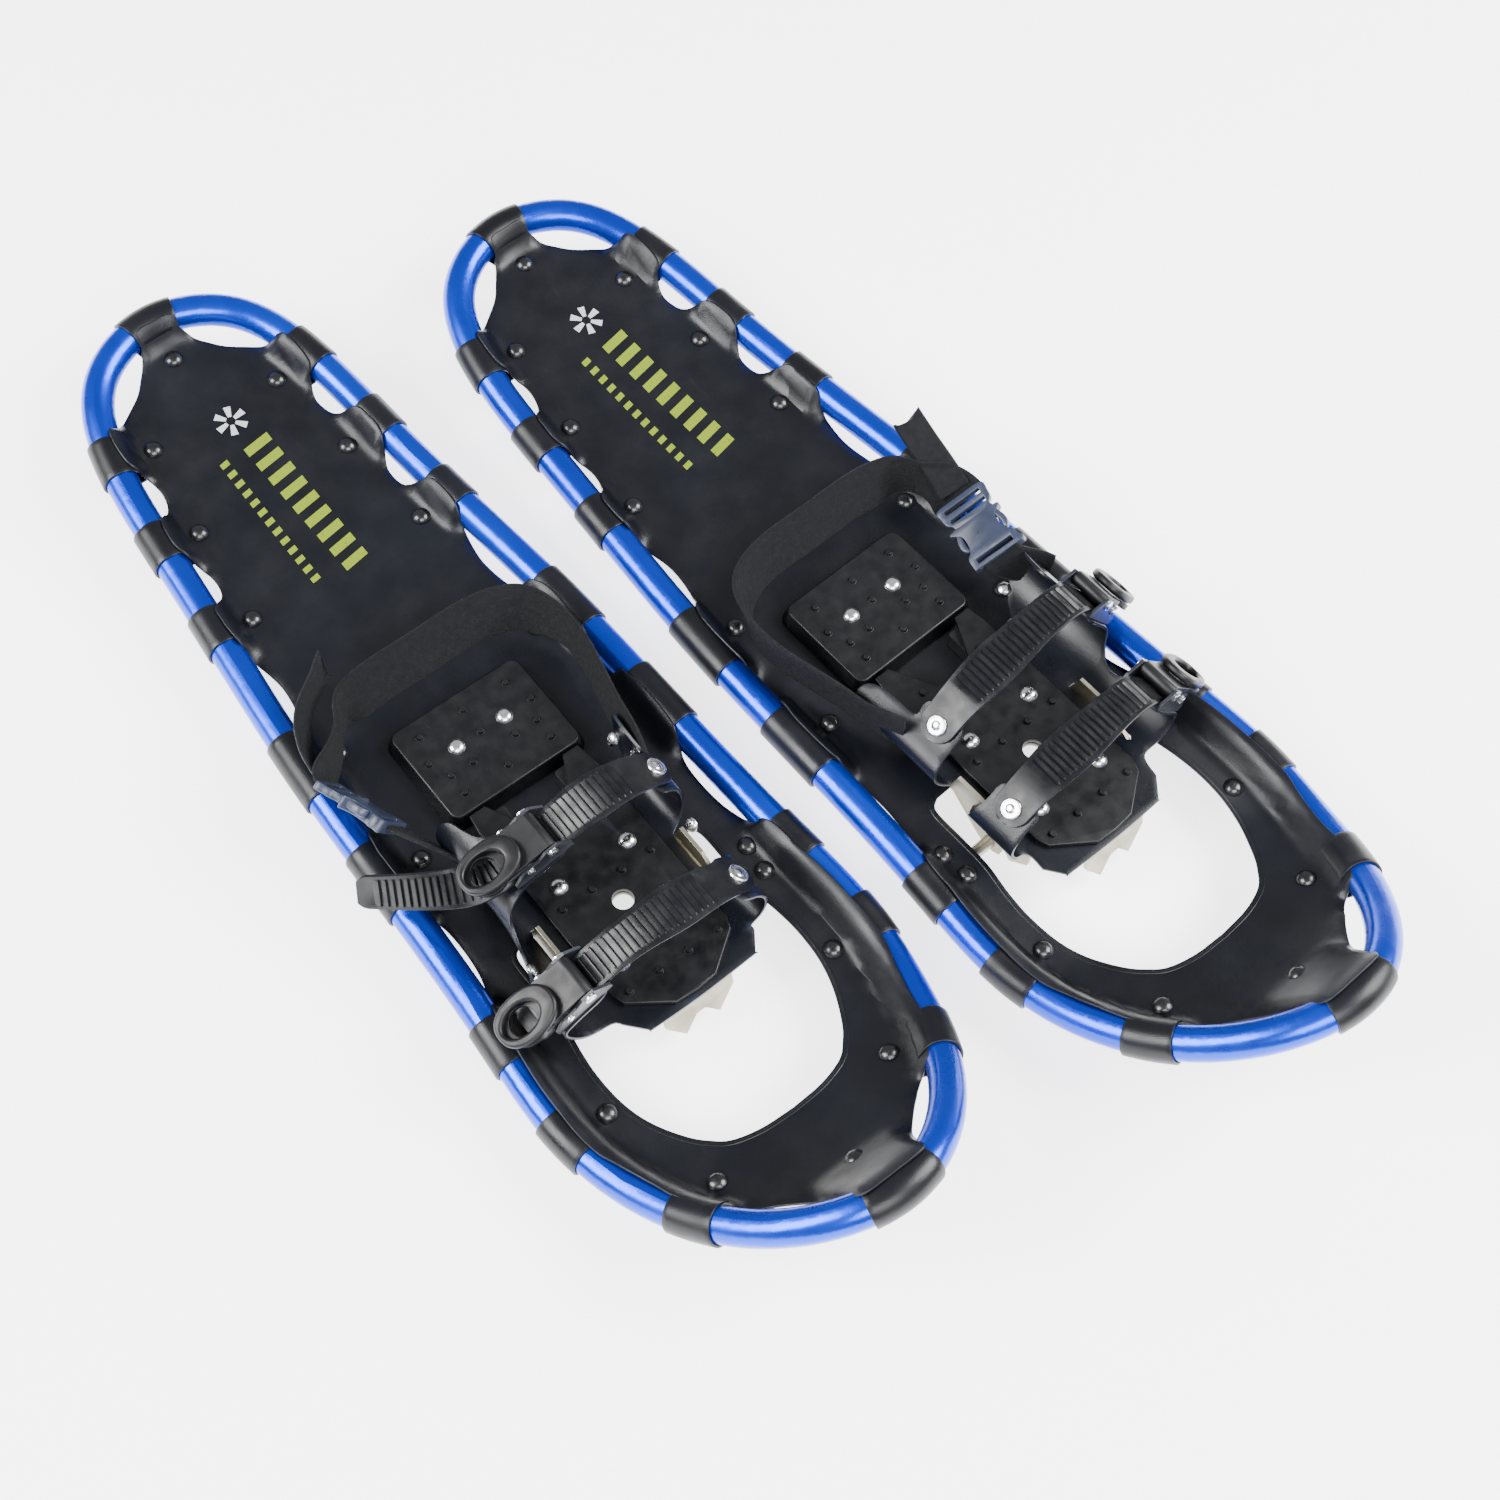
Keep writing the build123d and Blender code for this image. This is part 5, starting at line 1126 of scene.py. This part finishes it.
def build_lever_ring(side, shoe, name):
    """Oval finger ring moulded round the lever's end."""
    turns = np.linspace(0, 2 * pi, 44, endpoint=False)
    circle = np.stack([np.cos(turns), np.sin(turns)], 1)
    oval = np.sign(circle) * np.abs(circle) ** RING_SQUARE * RING_SIZE + (RING_MIDDLE, 0)
    flat, faces = filled(oval, [circle * HOLE_SIZE + (HOLE_MIDDLE, 0)], 60.0)
    points = []
    for along, across in flat:
        x, z = ratchet_xz(shoe[name], along, RING_ABOVE)
        points.append((x, shoe[name]["y"] + across, z))
    ring = piece(f"{side}_{name}_lever_ring", shoe, points, [f[::-1] for f in faces],
                 "ratchet_black", f"{side}_{name}_lever", sharp=60)
    merge_flats(ring, 2)
    thicken(ring, RING_T, 0)
    round_edges(ring, 1.9, 50, 4)


# ---------------------------------------------------------------- rounded copies of CAD nodes
ROUNDED = {"heel_pad": 0.5, "base_plate": 0.5, "axle_brackets": 0.5, "instep_base": 0.35,
           "toe_base": 0.35, "instep_lever": 0.7, "toe_lever": 0.7, "instep_pawl": 0.3,
           "toe_pawl": 0.3, "toe_crampon": 0.25, "heel_crampon": 0.25}
ON_SHOE = ("heel_pad", "heel_crampon", "axle_brackets")
OWN_BODY = ("instep_lever", "toe_lever", "instep_pawl", "toe_pawl")


def rounded_copy(side, part, width):
    """The node's own shape with its edges broken, as a moulding or pressing has them."""
    mesh = NODES[f"{side}_{part}"].data.copy()
    obj = bpy.data.objects.new(f"{side}_{part}_finished", mesh)
    scene.collection.objects.link(obj)
    weld = obj.modifiers.new("weld", "WELD")
    weld.merge_threshold = 0.00001
    merge_flats(obj, 1.5)
    round_edges(obj, width, 32)
    body = part if part in OWN_BODY else ("shoe" if part in ON_SHOE else "binding")
    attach(obj, f"{side}_{body}")
    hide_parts(f"{side}_{part}")


# ---------------------------------------------------------------- printed marks
PRINT_LIFT, PRINT_GRID = 0.12, 6
BARS, BAR_PITCH, BAR_Y = 9, 13.0, 103.0
DASHES, DASH_PITCH, DASH_Y = 13, 8.4, 106.0
RAYS, RAY_TURN, MOTIF = 6, 0.2, np.array([-5.0, 84.0])


def build_print(side, shoe):
    """Plain slanted bars and a small motif printed on the deck, the same way round on both."""
    own = -1.0 if shoe["mirrored"] else 1.0
    n = PRINT_GRID
    u, v = (g.reshape(-1, 1) / n for g in np.mgrid[0:n + 1, 0:n + 1])
    cells = [(a, a + n + 1, a + n + 2, a + 1)
             for a in (i * (n + 1) + j for i in range(n) for j in range(n))]

    def mark(name, corners, material):
        a, b, c, d = (np.array(corners, float) * (own, 1))[::int(own)]
        flat = (1 - u) * (1 - v) * a + u * (1 - v) * b + u * v * c + (1 - u) * v * d
        height = deck_height(flat[:, 0], flat[:, 1]) + PRINT_LIFT
        piece(f"{side}_print_{name}", shoe, np.column_stack([flat, height]), cells, "deck_sheet",
              f"{side}_shoe", material=material)

    for k in range(BARS):
        y = BAR_Y + k * BAR_PITCH
        x0, x1 = -19.0 - 0.2 * k, 0.0 - 0.4 * k
        mark(f"bar_{k}", [(x0, y), (x1, y + 3), (x1, y + 9.5), (x0, y + 6.5)], PRINT_LIME)
    for k in range(DASHES):
        y = DASH_Y + k * DASH_PITCH
        mark(f"dash_{k}", [(12.5, y), (18.5, y + 1), (18.5, y + 5), (12.5, y + 4)], PRINT_LIME)
    for k in range(RAYS):
        turn = 2 * pi * k / RAYS + RAY_TURN
        out, aside = np.array([cos(turn), sin(turn)]), np.array([-sin(turn), cos(turn)])
        mark(f"ray_{k}", [MOTIF + out * reach + aside * half for reach, half
                          in ((3, -1.2), (10.5, -2.4), (10.5, 2.4), (3, 1.2))], PRINT_WHITE)


# ---------------------------------------------------------------- build the pair
for side, shoe in SHOES.items():
    build_deck(side, shoe)
    build_bands(side, shoe)
    build_harness(side, shoe)
    for strap in ("instep", "toe"):
        build_ladder(side, shoe, strap)
    build_fittings(side, shoe)
    build_webbing(side, shoe)
    build_buckle(side, shoe)
    for strap in ("instep", "toe"):
        build_lever_ring(side, shoe, strap)
    for part, width in ROUNDED.items():
        rounded_copy(side, part, width)
    build_print(side, shoe)

# ---------------------------------------------------------------- floor
FLOOR_HALF = 6.0
floor_mesh = bpy.data.meshes.new("floor")
floor_mesh.from_pydata([(x * FLOOR_HALF, y * FLOOR_HALF, 0)
                        for x, y in ((-1, -1), (1, -1), (1, 1), (-1, 1))], [], [(0, 1, 2, 3)])
floor_shader = Shader("floor", (0.93, 0.93, 0.93), 0.7)
floor_shader.rough(floor_shader.noise(3, 3), 0.65, 0.8)
floor_shader.shader.inputs["Emission Color"].default_value = (1, 1, 1, 1)
floor_shader.shader.inputs["Emission Strength"].default_value = 2.4
floor_mesh.materials.append(floor_shader.material)
floor = bpy.data.objects.new("floor", floor_mesh)
scene.collection.objects.link(floor)
